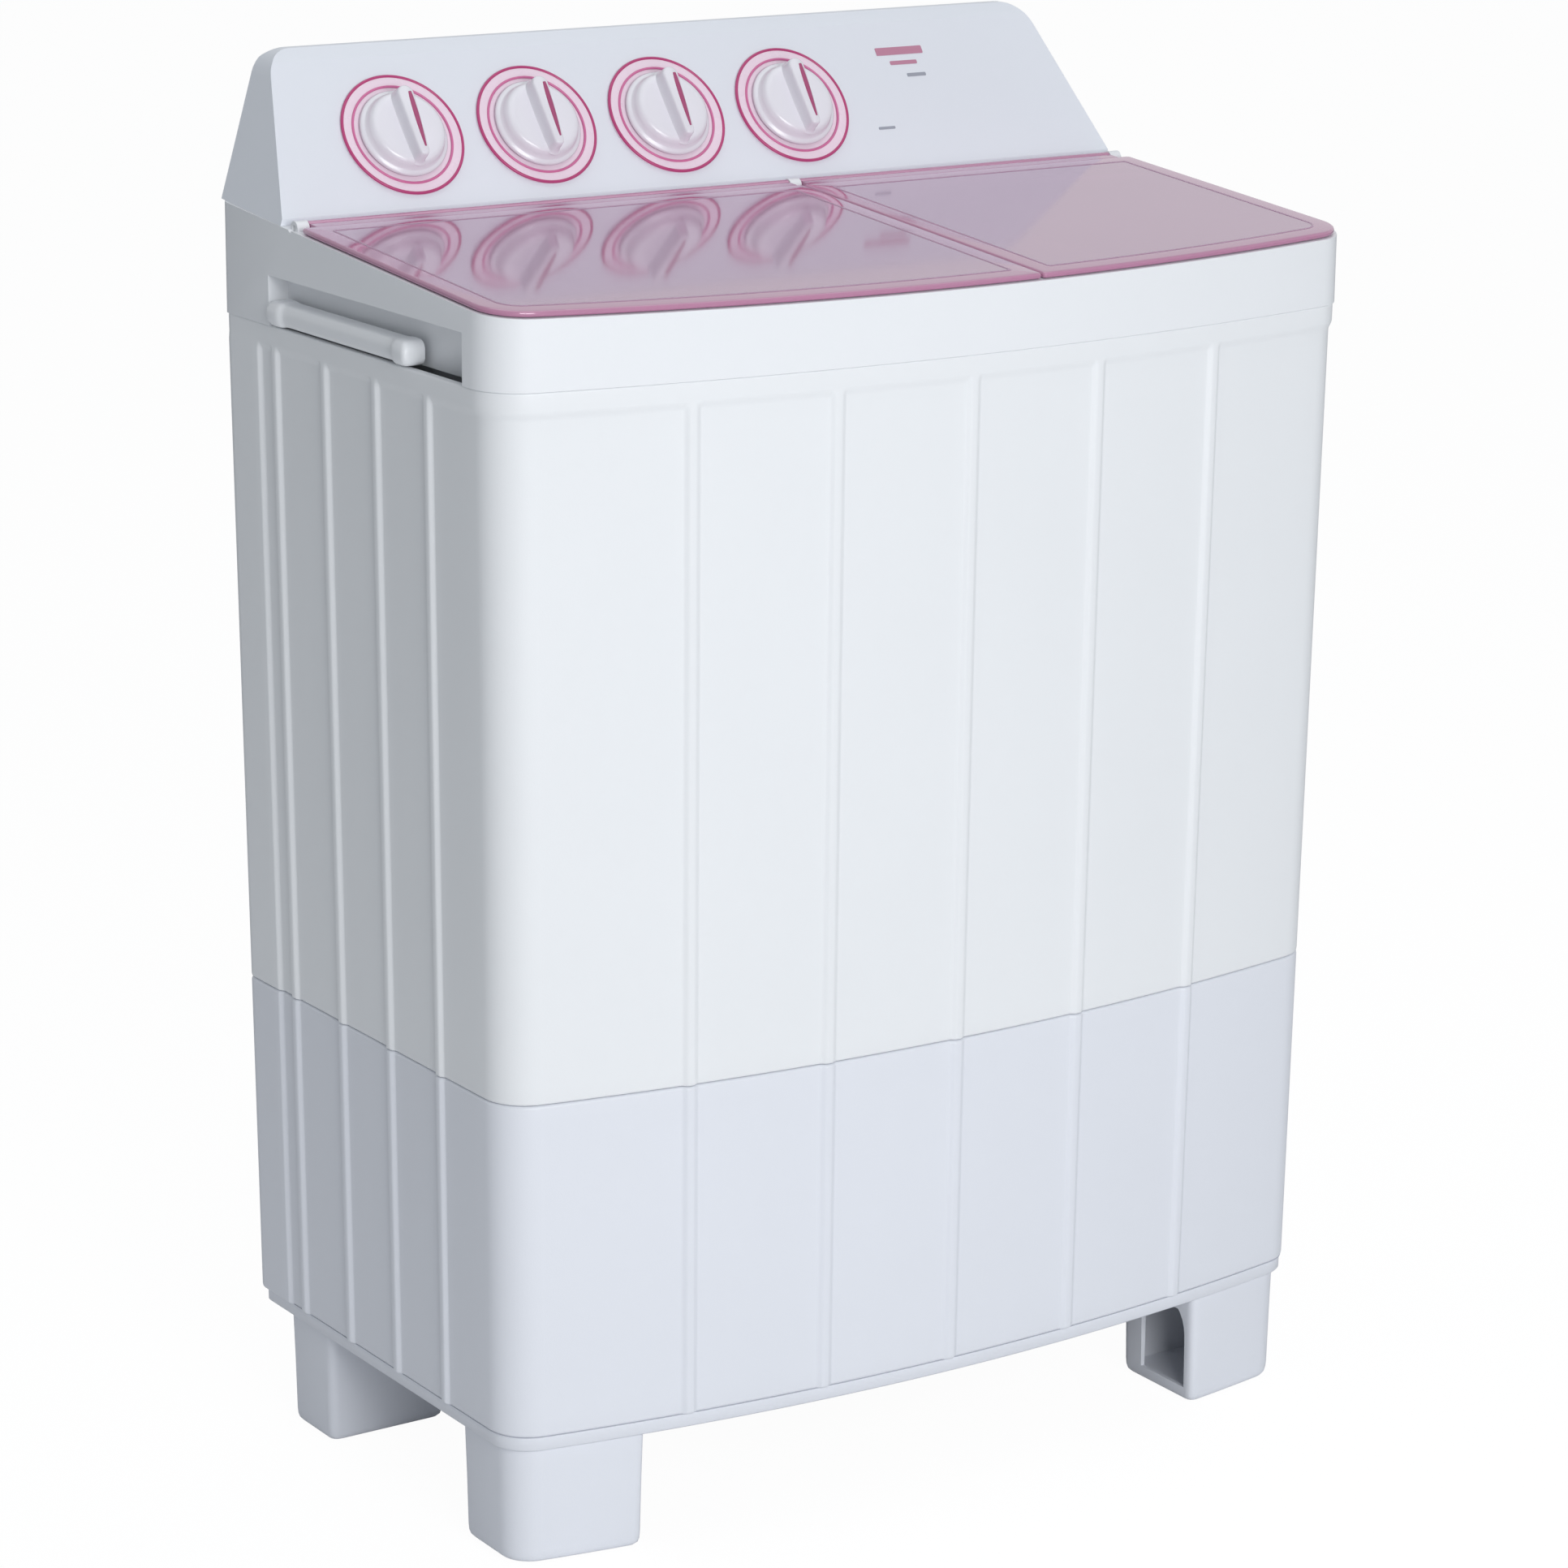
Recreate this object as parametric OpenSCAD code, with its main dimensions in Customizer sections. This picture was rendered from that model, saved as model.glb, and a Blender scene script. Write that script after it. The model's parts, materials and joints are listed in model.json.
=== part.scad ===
// Twin tub washer: square wash tub and round spin tub under one top frame.
// Origin: centre of the footprint on the floor. +Y is the back, +X is the spin side.

/* [Body] */
// Width across the top frame
body_w = 680; // [660:5:760]
// Depth from the crown of the bowed front to the back
body_d = 398; // [390:2:440]
// Height of the bowed front's crown over its corners
front_bow = 35.6; // [20:0.2:45]
// Radius of the two front corners
corner_r = 34; // [25:1:45]
// How far each side leans in between the top and the skirt
side_taper = 8; // [2:0.5:10]
// Wall of the body mouldings
wall = 3; // [2.5:0.1:4]
// Height of the ribs over the panels
rib_h = 2.5; // [1.5:0.1:3.5]
// Distance between the front ribs
front_rib_pitch = 104; // [100:1:110]
// Distance between the side ribs
side_rib_pitch = 68; // [64:1:70]

/* [Heights] */
// Bottom of the skirt, which is the height of the legs
skirt_z = 94; // [88:1:100]
// Parting line between base and cabinet
seam_z = 324; // [320:1:326]
// Bottom of the top frame
frame_z = 790; // [788:1:796]
// Top of the lids at the crown of the front
lid_z = 838; // [836:1:842]
// Highest point of the console
top_z = 964.5; // [960:0.5:975]

/* [Top] */
// Slope of the lids, in degrees
lid_slope = 4.6; // [4:0.1:5]
// Thickness of a lid
lid_t = 4; // [3:0.5:4.5]
// Where the two lids meet
lid_split_x = 54; // [50:1:58]
// Axis of the lid hinges, front to back
hinge_y = 98; // [96:1:100]

/* [Console] */
// Front edge of the console
console_y = 111.6; // [110:0.2:114]
// Lean of the control panel from the vertical, in degrees
panel_lean = 35; // [32:1:37]
// Lean of the console's sides towards each other, in degrees
console_taper = 16.4; // [14:0.2:18]
// Radius of the console's top corners
crown_r = 22; // [18:1:26]
// First knob, left to right
first_knob_x = -231; // [-236:1:-226]
// Distance between knobs
knob_pitch = 104.3; // [100:0.1:106]
// Radius of the pink dial ring
bezel_r = 45; // [40:1:46]
// Radius of a knob
knob_r = 32; // [28:1:34]

/* [Tubs] */
// Centre of the wash tub
wash_x = -136; // [-138:1:-134]
// Inside width of the wash tub
wash_w = 362; // [350:2:364]
// Inside depth of the wash tub
wash_d = 298; // [290:2:300]
// Centre of the spin tub
spin_x = 190; // [188:1:192]
// Radius of the spin basket
basket_r = 112; // [105:1:114]

/* [Hidden] */
$fn = 64;
half_w = body_w / 2;
half_d = body_d / 2;
clear = 0.05;
eps = 0.01;
bow_r = (half_w * half_w + front_bow * front_bow) / (2 * front_bow);
bow_y = bow_r - half_d;
recess_w = 300;
recess_d = 26;
recess_y = half_d - recess_d;
deck_z = lid_z - lid_t - 0.5;
deck_t = 3;
tub_floor = 338;
tub_top = 800;
tub_wall = 3;
spin_tub_r = 128;
wash_inner = [wash_w, wash_d];
console_z = lid_z + (console_y + half_d) * tan(lid_slope);
knob_v = 53.7;
shaft_r = 7;
spin_shaft_r = 8;
drive_pulley_r = 70;
motor_pulley_r = 17.5;
belt_z = 231;
wash_motor_x = 22;
wash_motor_y = 62;
hinge_z = lid_z + (hinge_y + half_d) * tan(lid_slope) - 3.5;
barrel_r = 4.5;
pin_r = 2.5;
drain_x = 82;
drain_y = 136;
ear_w = 9;
ear_r = 5;
screw_r = 2.1;

// ---------- shared shapes ----------

// Height of the sloped deck surface at depth y.
function deck_at(y) = deck_z + (y + half_d) * tan(lid_slope);

// Inset of the leaning body walls at height z.
function lean_in(z) = side_taper * (lid_z - z) / (lid_z - skirt_z);

// The same lean as a scale of the plan at height z.
function lean_scale(z) = [1 - lean_in(z) / half_w, 1 - lean_in(z) / half_d];

// Points of an arc, centre c, radius r, from angle a0 to a1.
function arc(c, r, a0, a1, n) =
  [for (i = [0:n]) let (a = a0 + (a1 - a0) * i / n) [c[0] + r * cos(a), c[1] + r * sin(a)]];

// Plan of the body, moved in by t: square at the back, rounded and bowed at the front.
function plan(t = 0) =
  let (cx = half_w - corner_r,
       reach = bow_r - corner_r,
       cy = bow_y - sqrt(reach * reach - cx * cx),
       a = atan2(bow_y - cy, cx),
       back_r = 12,
       bx = half_w - back_r,
       by = half_d - back_r)
  concat(
    arc([bx, by], back_r - min(t, 11), 0, 90, 4),
    arc([-bx, by], back_r - min(t, 11), 90, 180, 4),
    arc([-cx, cy], corner_r - t, 180, 180 + a, 8),
    arc([0, bow_y], bow_r - t, 180 + a, 360 - a, 20),
    arc([cx, cy], corner_r - t, 360 - a, 360, 8));

// Straight-back plan used inside the shell, where the back wall follows t too.
module plan_in(t) {
  intersection() {
    polygon(plan(t));
    translate([-half_w, -half_d - 1]) square([body_w, body_d + 1 - t]);
  }
}

// A 2D child drawn at the rim, extruded from z0 to z1 with the body's lean.
module leaning(z0, z1) {
  k0 = lean_scale(z0);
  k1 = lean_scale(z1);
  translate([0, 0, z0])
    linear_extrude(height = z1 - z0, scale = [k1[0] / k0[0], k1[1] / k0[1]], slices = 1)
      scale(k0) children();
}

// Panels set back by rib_h, with ribs, plain rear corners and the back service recess.
module ribbed_plan() {
  difference() {
    union() {
      plan_in(rib_h);
      intersection() {
        polygon(plan(0));
        union() {
          for (i = [-2:2]) translate([i * front_rib_pitch - 4, -half_d]) square([8, half_d]);
          for (i = [-1:2]) translate([-half_w, i * side_rib_pitch - 13]) square([body_w, 8]);
          translate([-half_w, 148]) square([body_w, half_d - 148]);
        }
      }
    }
    service_recess(0);
  }
}

module service_recess(t) {
  translate([-recess_w - t, recess_y - t]) square([2 * (recess_w + t), recess_d + 20]);
}

module wall_core() {
  difference() {
    plan_in(rib_h + wall);
    service_recess(wall);
  }
}

// A rounded rectangle centred on the origin.
module round_rect(size, r) {
  union() {
    square([size[0] - 2 * r, size[1]], center = true);
    square([size[0], size[1] - 2 * r], center = true);
    for (sx = [-1, 1], sy = [-1, 1])
      translate([sx * (size[0] / 2 - r), sy * (size[1] / 2 - r)]) circle(r = r);
  }
}

module tube(r_out, r_in, h) {
  difference() {
    cylinder(r = r_out, h = h);
    translate([0, 0, -1]) cylinder(r = r_in, h = h + 2);
  }
}

// Children in the frame of the raked panel: Z out of the face, Y up the face.
module on_panel(x, v) {
  translate([x, console_y + v * sin(panel_lean), console_z + v * cos(panel_lean)])
    rotate([90 - panel_lean, 0, 0]) children();
}

// Children in the frame of the sloped lid plane: origin under the front crown, top of the lid.
module on_lid() {
  translate([0, -half_d, lid_z]) rotate([lid_slope, 0, 0]) children();
}

// Everything below the deck plane lowered by t.
module under_deck(t) {
  translate([0, -half_d, deck_z - t]) rotate([lid_slope, 0, 0])
    translate([-400, -60, -300]) cube([800, 600, 300]);
}

module screw(len) {
  union() {
    cylinder(r = 4, h = 2);
    translate([0, 0, -len]) cylinder(r = screw_r, h = len + eps);
  }
}

// A straight round bar from a to b.
module rod(a, b, r) {
  d = b - a;
  len = norm(d);
  translate(a)
    rotate([0, acos(d[2] / len), atan2(d[1], d[0])])
      cylinder(r = r, h = len, $fn = 24);
}

// A round bar through a list of points, with slightly fuller ball corners.
module run(points, r) {
  union() {
    for (i = [0:len(points) - 2]) rod(points[i], points[i + 1], r);
    for (i = [1:len(points) - 2]) translate(points[i]) sphere(r = r + 0.4, $fn = 24);
  }
}

// Half a ring standing in the XZ plane, opening downwards.
module u_turn(bend, r) {
  rotate([90, 0, 0]) rotate_extrude(angle = 180) translate([bend, 0]) circle(r = r, $fn = 24);
}

// ---------- body ----------

leg_in = 237;
leg_front = -88;
leg_back = [106, 164];
lip_z = 84;
floor_z = 97;
pad_h = 4;

// The four legs, moved in by t, upright from z0 to z1.
module legs(t, z0, z1) {
  translate([0, 0, z0]) linear_extrude(z1 - z0) scale(lean_scale(skirt_z / 2))
    intersection() {
      polygon(plan(10 + t));
      union() {
        for (s = [-1, 1]) {
          translate([s * (leg_in + t + 50) - 50, -half_d]) square([100, leg_front - t + half_d]);
          translate([s * (leg_in + t + 50) - 50, leg_back[0] + t])
            square([100, leg_back[1] - leg_back[0] - 2 * t]);
        }
      }
    }
}

back_cover_w = 360;
back_cover_z = [115, 300];
back_hole_w = 330;
back_hole_z = [130, 285];
back_face_y = recess_y * (1 - lean_in(back_cover_z[1]) / half_d) + 0.1;
hose_x = 250;
hose_r = 11.5;
cord_x = -250;
outlet_z = 150;

module back_cover_spots() {
  for (s = [-1, 1], z = [back_cover_z[0] + 8, back_cover_z[1] - 8])
    translate([s * (back_cover_w / 2 - 8), 0, z]) rotate([-90, 0, 0]) children();
}

// Opening in the floor of the base, moved in by t, clear of the leg tops.
module floor_opening(t) {
  scale(lean_scale(lip_z))
    difference() {
      plan_in(30 + t);
      service_recess(30 + t);
      for (s = [-1, 1]) {
        translate([s * (leg_in + 45 - t) - 50, -half_d]) square([100, half_d + leg_front + 5 + t]);
        translate([s * (leg_in + 45 - t) - 50, leg_back[0] - 5 - t]) square([100, 100]);
      }
    }
}

module base() {
  color("lavender")
    difference() {
      union() {
        leaning(skirt_z, seam_z - 1) ribbed_plan();
        translate([0, 0, lip_z]) linear_extrude(skirt_z + 1 - lip_z) scale(lean_scale(lip_z))
          difference() {
            plan_in(4);
            service_recess(1.5);
          }
        legs(0, pad_h / 2, skirt_z);
      }
      leaning(floor_z, seam_z + 1) wall_core();
      translate([0, 0, lip_z - 1]) linear_extrude(20) floor_opening(0);
      legs(3, 10, floor_z + 2);
      translate([-back_hole_w / 2, recess_y - 20, back_hole_z[0]])
        cube([back_hole_w, 30, back_hole_z[1] - back_hole_z[0]]);
      translate([hose_x, recess_y - 20, outlet_z]) rotate([-90, 0, 0])
        cylinder(r = hose_r + 1, h = 30);
      translate([cord_x, recess_y - 20, outlet_z]) rotate([-90, 0, 0]) cylinder(r = 4.5, h = 30);
      translate([0, recess_y - 20, 0]) back_cover_spots() cylinder(r = screw_r, h = 40);
      for (p = pad_spots) translate([p[0], p[1], 0]) cylinder(r = 16, h = pad_h);
    }
}

pad_spots = [for (s = [-1, 1], y = [-125, 135]) [s * 276, y]];

module foot_pads() {
  color("dimgray")
    for (p = pad_spots) translate([p[0], p[1], 0]) cylinder(r = 15.5, h = pad_h);
}

module cabinet() {
  color("whitesmoke")
    difference() {
      union() {
        leaning(seam_z, frame_z - 14) ribbed_plan();
        leaning(frame_z - 14, frame_z)
          difference() {
            polygon(plan(0.4));
            service_recess(0);
          }
      }
      leaning(seam_z - 1, frame_z + 1) wall_core();
    }
}

pocket_y = [-125, 130];
pocket_top = 823.6;
pocket_depth = 15;
wash_mouth = [330, 224];
wash_mouth_y = -28;
spin_mouth_r = 98;
spin_mouth_y = -12;
mouth_r = 40;
collar_z = tub_top + 1;

module wash_mouth_plan(t) {
  translate([wash_x, wash_mouth_y]) round_rect([wash_mouth[0] + 2 * t, wash_mouth[1] + 2 * t], mouth_r + t);
}

module spin_mouth_plan(t) {
  translate([spin_x, spin_mouth_y]) circle(r = spin_mouth_r + t);
}

ear_x = [-half_w + 7.5, lid_split_x, half_w - 7.5];

module top_frame() {
  color("white")
    difference() {
      union() {
        // outer band and sloped deck
        intersection() {
          translate([0, 0, frame_z]) linear_extrude(100) polygon(plan(0));
          difference() {
            under_deck(0);
            intersection() {
              translate([0, 0, frame_z - 1]) linear_extrude(100) polygon(plan(wall));
              under_deck(deck_t);
            }
          }
        }
        // ledge that closes the service recess
        translate([0, 0, frame_z])
          linear_extrude(3)
            intersection() {
              polygon(plan(1));
              translate([-half_w, recess_y - 6]) square([body_w, 40]);
            }
        // collars round the tub mouths
        intersection() {
          translate([0, 0, collar_z])
            linear_extrude(80) {
              wash_mouth_plan(wall);
              spin_mouth_plan(wall);
            }
          under_deck(1);
        }
        // walls round the handle pockets
        for (s = [-1, 1])
          translate([s * (half_w - pocket_depth / 2 - 2) - pocket_depth / 2 - 1, pocket_y[0] - 3, frame_z])
            cube([pocket_depth + 2, pocket_y[1] - pocket_y[0] + 6, pocket_top + 3 - frame_z]);
        // hinge ears
        for (x = ear_x) {
          translate([x - ear_w / 2, hinge_y, hinge_z]) rotate([0, 90, 0]) cylinder(r = ear_r, h = ear_w);
          translate([x - ear_w / 2, hinge_y - ear_r, hinge_z - 9]) cube([ear_w, 2 * ear_r, 9]);
        }
      }
      // pockets
      for (s = [-1, 1])
        translate([s * half_w - pocket_depth, pocket_y[0], frame_z - 1])
          cube([2 * pocket_depth, pocket_y[1] - pocket_y[0], pocket_top - frame_z + 1]);
      // tub mouths
      translate([0, 0, frame_z]) linear_extrude(100) {
        wash_mouth_plan(0);
        spin_mouth_plan(0);
      }
      // groove under the lid barrels
      for (span = [[ear_x[0], ear_x[1]], [ear_x[1], ear_x[2]]])
        translate([span[0] + ear_w / 2, hinge_y, hinge_z]) rotate([0, 90, 0])
          cylinder(r = barrel_r + 1, h = span[1] - span[0] - ear_w);
      for (x = ear_x)
        translate([x - ear_w, hinge_y, hinge_z]) rotate([0, 90, 0]) cylinder(r = pin_r, h = 2 * ear_w);
      // openings under the console for wires, water and the drain strap
      translate([-290, 158, frame_z + 10]) cube([580, 30, 100]);
      translate([-20, 150, frame_z + 10]) cube([40, 20, 100]);
      translate([wash_x - 10, 139, frame_z + 10]) cube([20, 30, 100]);
      translate([drain_x - 8, drain_y - 8, frame_z + 10]) cube([16, 40, 100]);
    }
}

module side_handles() {
  color("white")
    for (s = [-1, 1])
      translate([s * (half_w - 3) - 8, 0, 0])
        difference() {
          intersection() {
            rotate([90, 0, 90])
              linear_extrude(16)
                union() {
                  translate([-51, 791.2]) square([169, 17]);
                  for (y = [-51, 118]) translate([y, 799.7]) circle(r = 8.5);
                }
            translate([-10, -70, 700]) cube([40, 210, 200]);
          }
          translate([s > 0 ? -1 : 10, -44, 780]) cube([7, 155, 40]);
        }
}

// ---------- console ----------

// Where the console's sides start to lean in, and the circle that rounds its top corners.
shoulder_z = lid_z + 20;
crown_z = top_z - crown_r;
crown_x = half_w - (crown_r + (crown_z - shoulder_z) * sin(console_taper)) / cos(console_taper);

module console_body(t, back) {
  lean_t = t / cos(panel_lean);
  top_y = console_y + (top_z - t - console_z) * tan(panel_lean) + lean_t;
  intersection() {
    rotate([90, 0, 90])
      translate([0, 0, -400])
        linear_extrude(800)
          polygon([
            [console_y + lean_t, 800],
            [console_y + lean_t, console_z],
            [top_y - 8 * tan(panel_lean), top_z - t - 8],
            [top_y + 3, top_z - t],
            [back - 6, top_z - t],
            [back, top_z - t - 6],
            [back, 800]]);
    translate([0, 300, 0]) rotate([90, 0, 0])
      linear_extrude(400)
        polygon(concat(
          [[half_w - t, 800]],
          [[half_w - t, shoulder_z - t * tan(console_taper / 2)]],
          arc([crown_x, crown_z], crown_r - t, console_taper, 90, 8),
          arc([-crown_x, crown_z], crown_r - t, 90, 180 - console_taper, 8),
          [[-half_w + t, shoulder_z - t * tan(console_taper / 2)]],
          [[-half_w + t, 800]]));
  }
}

function knob_x(i) = first_knob_x + i * knob_pitch;
inlet_x = 222;
inlet_z = 906;
cup_r = 26;
cup_depth = 24;
console_screw_x = [-290, -150, 150, 290];
console_screw_z = 945;

module console() {
  color("gainsboro")
    difference() {
      union() {
        difference() {
          console_body(0, half_d);
          console_body(wall, half_d + 20);
        }
        for (x = console_screw_x) {
          translate([x, half_d - 20, console_screw_z]) rotate([-90, 0, 0]) cylinder(r = 6, h = 16.9);
          translate([x - 6, half_d - 15, console_screw_z])
            cube([12, 11.9, top_z - 4 - console_screw_z]);
        }
      }
      translate([0, 0, 0.05]) under_deck(0);
      for (i = [0:3]) on_panel(knob_x(i), knob_v) translate([0, 0, -10]) cylinder(r = 5, h = 20);
      for (x = console_screw_x)
        translate([x, half_d - 20, console_screw_z]) rotate([-90, 0, 0]) cylinder(r = screw_r, h = 30);
    }
}

module console_back() {
  color("gainsboro")
    difference() {
      union() {
        intersection() {
          console_body(wall + 0.5, half_d + 20);
          translate([-400, half_d - 3, 800]) cube([800, 2.5, 200]);
        }
        translate([inlet_x, half_d - 0.5, inlet_z]) rotate([90, 0, 0])
          cylinder(r = cup_r + 2, h = cup_depth + 2);
      }
      translate([0, 0, 0.5]) under_deck(0);
      translate([inlet_x, half_d + 5, inlet_z]) rotate([90, 0, 0]) cylinder(r = cup_r, h = cup_depth + 5.5);
      translate([inlet_x, half_d + 5, inlet_z]) rotate([90, 0, 0]) cylinder(r = 10, h = 60);
      for (x = console_screw_x)
        translate([x, half_d - 20, console_screw_z]) rotate([-90, 0, 0])
          cylinder(r = screw_r + 0.2, h = 30);
      for (i = [-6:6]) translate([i * 12 - 60, half_d - 5, 925]) cube([5, 10, 20]);
    }
}

module console_screws() {
  color("silver")
    for (x = console_screw_x)
      translate([x, half_d - 0.5, console_screw_z]) rotate([-90, 0, 0]) translate([0, 0, -2])
        union() {
          translate([0, 0, 2]) cylinder(r = 4, h = 0.5);
          translate([0, 0, -12]) cylinder(r = screw_r, h = 14.1);
        }
}

module back_cover() {
  color("lightgray")
    difference() {
      translate([-back_cover_w / 2, back_face_y, back_cover_z[0]])
        cube([back_cover_w, 2, back_cover_z[1] - back_cover_z[0]]);
      back_cover_spots() cylinder(r = screw_r + 0.2, h = 300);
      for (i = [-8:8], z = [160, 225])
        translate([i * 16 - 3, back_face_y - 1, z]) cube([6, 4, 45]);
    }
}

module back_cover_screws() {
  color("silver") translate([0, back_face_y + 2, 0]) back_cover_spots() screw(9);
}

module bottom_guard() {
  color("gray")
    translate([0, 0, lip_z + 1])
      linear_extrude(2.5)
        difference() {
          floor_opening(1);
          for (i = [-11:11], j = [-1:1]) translate([i * 20 - 6, j * 75 - 32]) square([12, 64]);
        }
}

// ---------- tubs ----------

outer_tub = [wash_w + 2 * tub_wall, wash_d + 2 * tub_wall];
pipe_r = 9;

module tub_set() {
  color("aliceblue")
    difference() {
      union() {
        translate([wash_x, 0, tub_floor - tub_wall]) linear_extrude(tub_top - tub_floor + tub_wall)
          round_rect(outer_tub, 52);
        translate([wash_x, 0, tub_top - 3]) linear_extrude(3)
          round_rect([outer_tub[0] + 3, outer_tub[1] + 3], 53);
        translate([spin_x, 0, tub_floor - tub_wall])
          cylinder(r = spin_tub_r, h = tub_top - tub_floor + tub_wall);
        translate([spin_x, 0, tub_top - 3]) cylinder(r = spin_tub_r + 3, h = 3);
        translate([48, -30, tub_top - 20]) cube([20, 60, 20]);
      }
      translate([wash_x, 0, tub_floor]) linear_extrude(600) round_rect(wash_inner, 49);
      translate([spin_x, 0, tub_floor]) cylinder(r = spin_tub_r - tub_wall, h = 600);
      translate([wash_x, 0, 300]) cylinder(r = 14, h = 60);
      translate([spin_x, 0, 300]) cylinder(r = 30, h = 60);
      translate([30, drain_y - 46, 350]) rotate([0, 90, 0]) cylinder(r = pipe_r, h = 30);
      translate([drain_x, 80, 350]) rotate([90, 0, 0]) cylinder(r = pipe_r, h = 40);
    }
}

module overflow_cover() {
  color("aliceblue")
    difference() {
      translate([wash_x + wash_w / 2 - 7, -50, 342]) cube([6.9, 100, 360]);
      for (i = [0:6], y = [-36, -14, 8, 30])
        translate([wash_x + wash_w / 2 - 10, y, 352 + i * 14]) cube([20, 10, 6]);
      translate([wash_x + wash_w / 2 - 4, -46, 346]) cube([10, 92, 352]);
    }
}

filter_x = wash_x;
filter_z = [560, 700];

module lint_filter() {
  color("lightskyblue")
    difference() {
      union() {
        translate([filter_x - 45, wash_d / 2 - 14, filter_z[0]])
          cube([90, 13.8, filter_z[1] - filter_z[0]]);
        translate([filter_x - 14, wash_d / 2 - 20, filter_z[1] - 10]) cube([28, 8, 10]);
      }
      translate([filter_x - 39, wash_d / 2 - 20, filter_z[0] + 8])
        cube([78, 18, filter_z[1] - filter_z[0] - 24]);
    }
}

// ---------- lids ----------

// The lid plane's own coordinates of the hinge axis.
hinge_run = hinge_y + half_d;
hinge_v = hinge_run * cos(lid_slope) + (hinge_z - lid_z) * sin(lid_slope);
lid_end = hinge_v - 3.2;
barrel_lap = 0.3;

// A lid between x0 and x1, with the corners cut away round the hinge ears.
module lid(x0, x1, b0, b1) {
  difference() {
    union() {
      on_lid() translate([0, 0, -lid_t]) linear_extrude(lid_t)
        intersection() {
          translate([0, half_d]) polygon(plan(2));
          union() {
            translate([x0, -1]) square([x1 - x0, lid_end - 8]);
            translate([b0, -1]) square([b1 - b0, lid_end + 1]);
          }
        }
      translate([b0 - barrel_lap, hinge_y, hinge_z]) rotate([0, 90, 0])
        cylinder(r = barrel_r, h = b1 - b0 + 2 * barrel_lap);
    }
    for (x = [b0 - 1, b1 - 13])
      translate([x, hinge_y, hinge_z]) rotate([0, 90, 0]) cylinder(r = pin_r + clear, h = 15);
  }
}

ear_gap = 0.6;
lid_gap = 0.75;

module wash_lid() {
  color("plum", 0.6)
    lid(-half_w, lid_split_x - lid_gap, ear_x[0] + ear_w / 2 + ear_gap, ear_x[1] - ear_w / 2 - ear_gap);
}

module spin_lid() {
  color("plum", 0.6)
    lid(lid_split_x + lid_gap, half_w, ear_x[1] + ear_w / 2 + ear_gap, ear_x[2] - ear_w / 2 - ear_gap);
}

module lid_hinge_pins() {
  color("silver")
    for (i = [0:2]) {
      x0 = i == 0 ? ear_x[0] - ear_w / 2 + 1 : ear_x[i] - ear_w / 2 - 13;
      x1 = i == 2 ? ear_x[2] + ear_w / 2 - 1 : ear_x[i] + ear_w / 2 + 13;
      translate([x0, hinge_y, hinge_z]) rotate([0, 90, 0]) cylinder(r = pin_r, h = x1 - x0);
    }
}

// ---------- knobs and what they turn ----------

stem_r = 4;
knob_h = 13;
grip_h = 23;

module knob_bezels() {
  color("hotpink")
    for (i = [0:3]) on_panel(knob_x(i), knob_v)
      difference() {
        cylinder(r = bezel_r, h = 3);
        translate([0, 0, 1.2]) cylinder(r = bezel_r - 3, h = 3);
        translate([0, 0, -1]) cylinder(r = 6, h = 6);
      }
}

module knob(i) {
  color("white")
    on_panel(knob_x(i), knob_v)
      difference() {
        union() {
          translate([0, 0, 1.8]) cylinder(r = knob_r, h = 3);
          translate([0, 0, 4.8]) cylinder(r1 = knob_r - 2, r2 = knob_r - 6, h = knob_h - 4.8);
          translate([-4.5, -22, 4]) cube([9, 44, grip_h - 4]);
          for (y = [-22, 22]) translate([0, y, 4]) cylinder(r = 4.5, h = grip_h - 4);
        }
        translate([0, 0, 1]) cylinder(r = stem_r, h = 10.8);
      }
}

module wash_timer_knob() { knob(0); }
module wash_mode_knob() { knob(1); }
module spin_timer_knob() { knob(2); }
module drain_knob() { knob(3); }

// A panel-mounted control with its body behind the face; its stem turns with the knob.
module control(i, r, depth) {
  on_panel(knob_x(i), knob_v)
    union() {
      translate([0, 0, -wall - 0.2 - depth]) cylinder(r = r, h = depth);
      translate([0, 0, -wall - 1]) cylinder(r = stem_r - clear, h = 12.5 + wall);
      for (s = [-1, 1]) translate([s * r - 5, -5, -wall - 2.2]) cube([10, 10, 2]);
    }
}

module wash_timer() { color("ivory") control(0, 20, 34); }
module wash_mode_switch() { color("ivory") control(1, 17, 24); }
module spin_timer() { color("ivory") control(2, 20, 34); }
module drain_selector() { color("ivory") control(3, 15, 18); }

module buzzer() {
  color("dimgray") on_panel(170, 45) translate([0, 0, -wall - 14.2]) cylinder(r = 15, h = 14);
}

module lid_switch() {
  color("ivory")
    union() {
      translate([250, 131, deck_at(145) + 0.2]) cube([28, 14, 16]);
      translate([262, 136, deck_at(145) + 16]) cube([4, 4, 5]);
    }
}

// ---------- wash drive ----------

module pulsator() {
  color("lightskyblue")
    translate([wash_x, 0, tub_floor + 4])
      difference() {
        union() {
          cylinder(r = 124, h = 8);
          translate([0, 0, 8]) cylinder(r1 = 62, r2 = 26, h = 14);
          for (a = [0:90:270]) rotate(a) {
            translate([18, -6, 6]) cube([92, 12, 18]);
            translate([110, 0, 6]) cylinder(r = 6, h = 18);
          }
          cylinder(r = 26, h = 26);
        }
        translate([0, 0, -1]) cylinder(r = shaft_r, h = 20);
        translate([0, 0, -1]) cylinder(r = 3, h = 40);
        translate([0, 0, 24]) cylinder(r = 8, h = 10);
        for (a = [15:30:345]) rotate(a) translate([84, 0, -1]) cylinder(r = 3, h = 20);
      }
}

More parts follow.
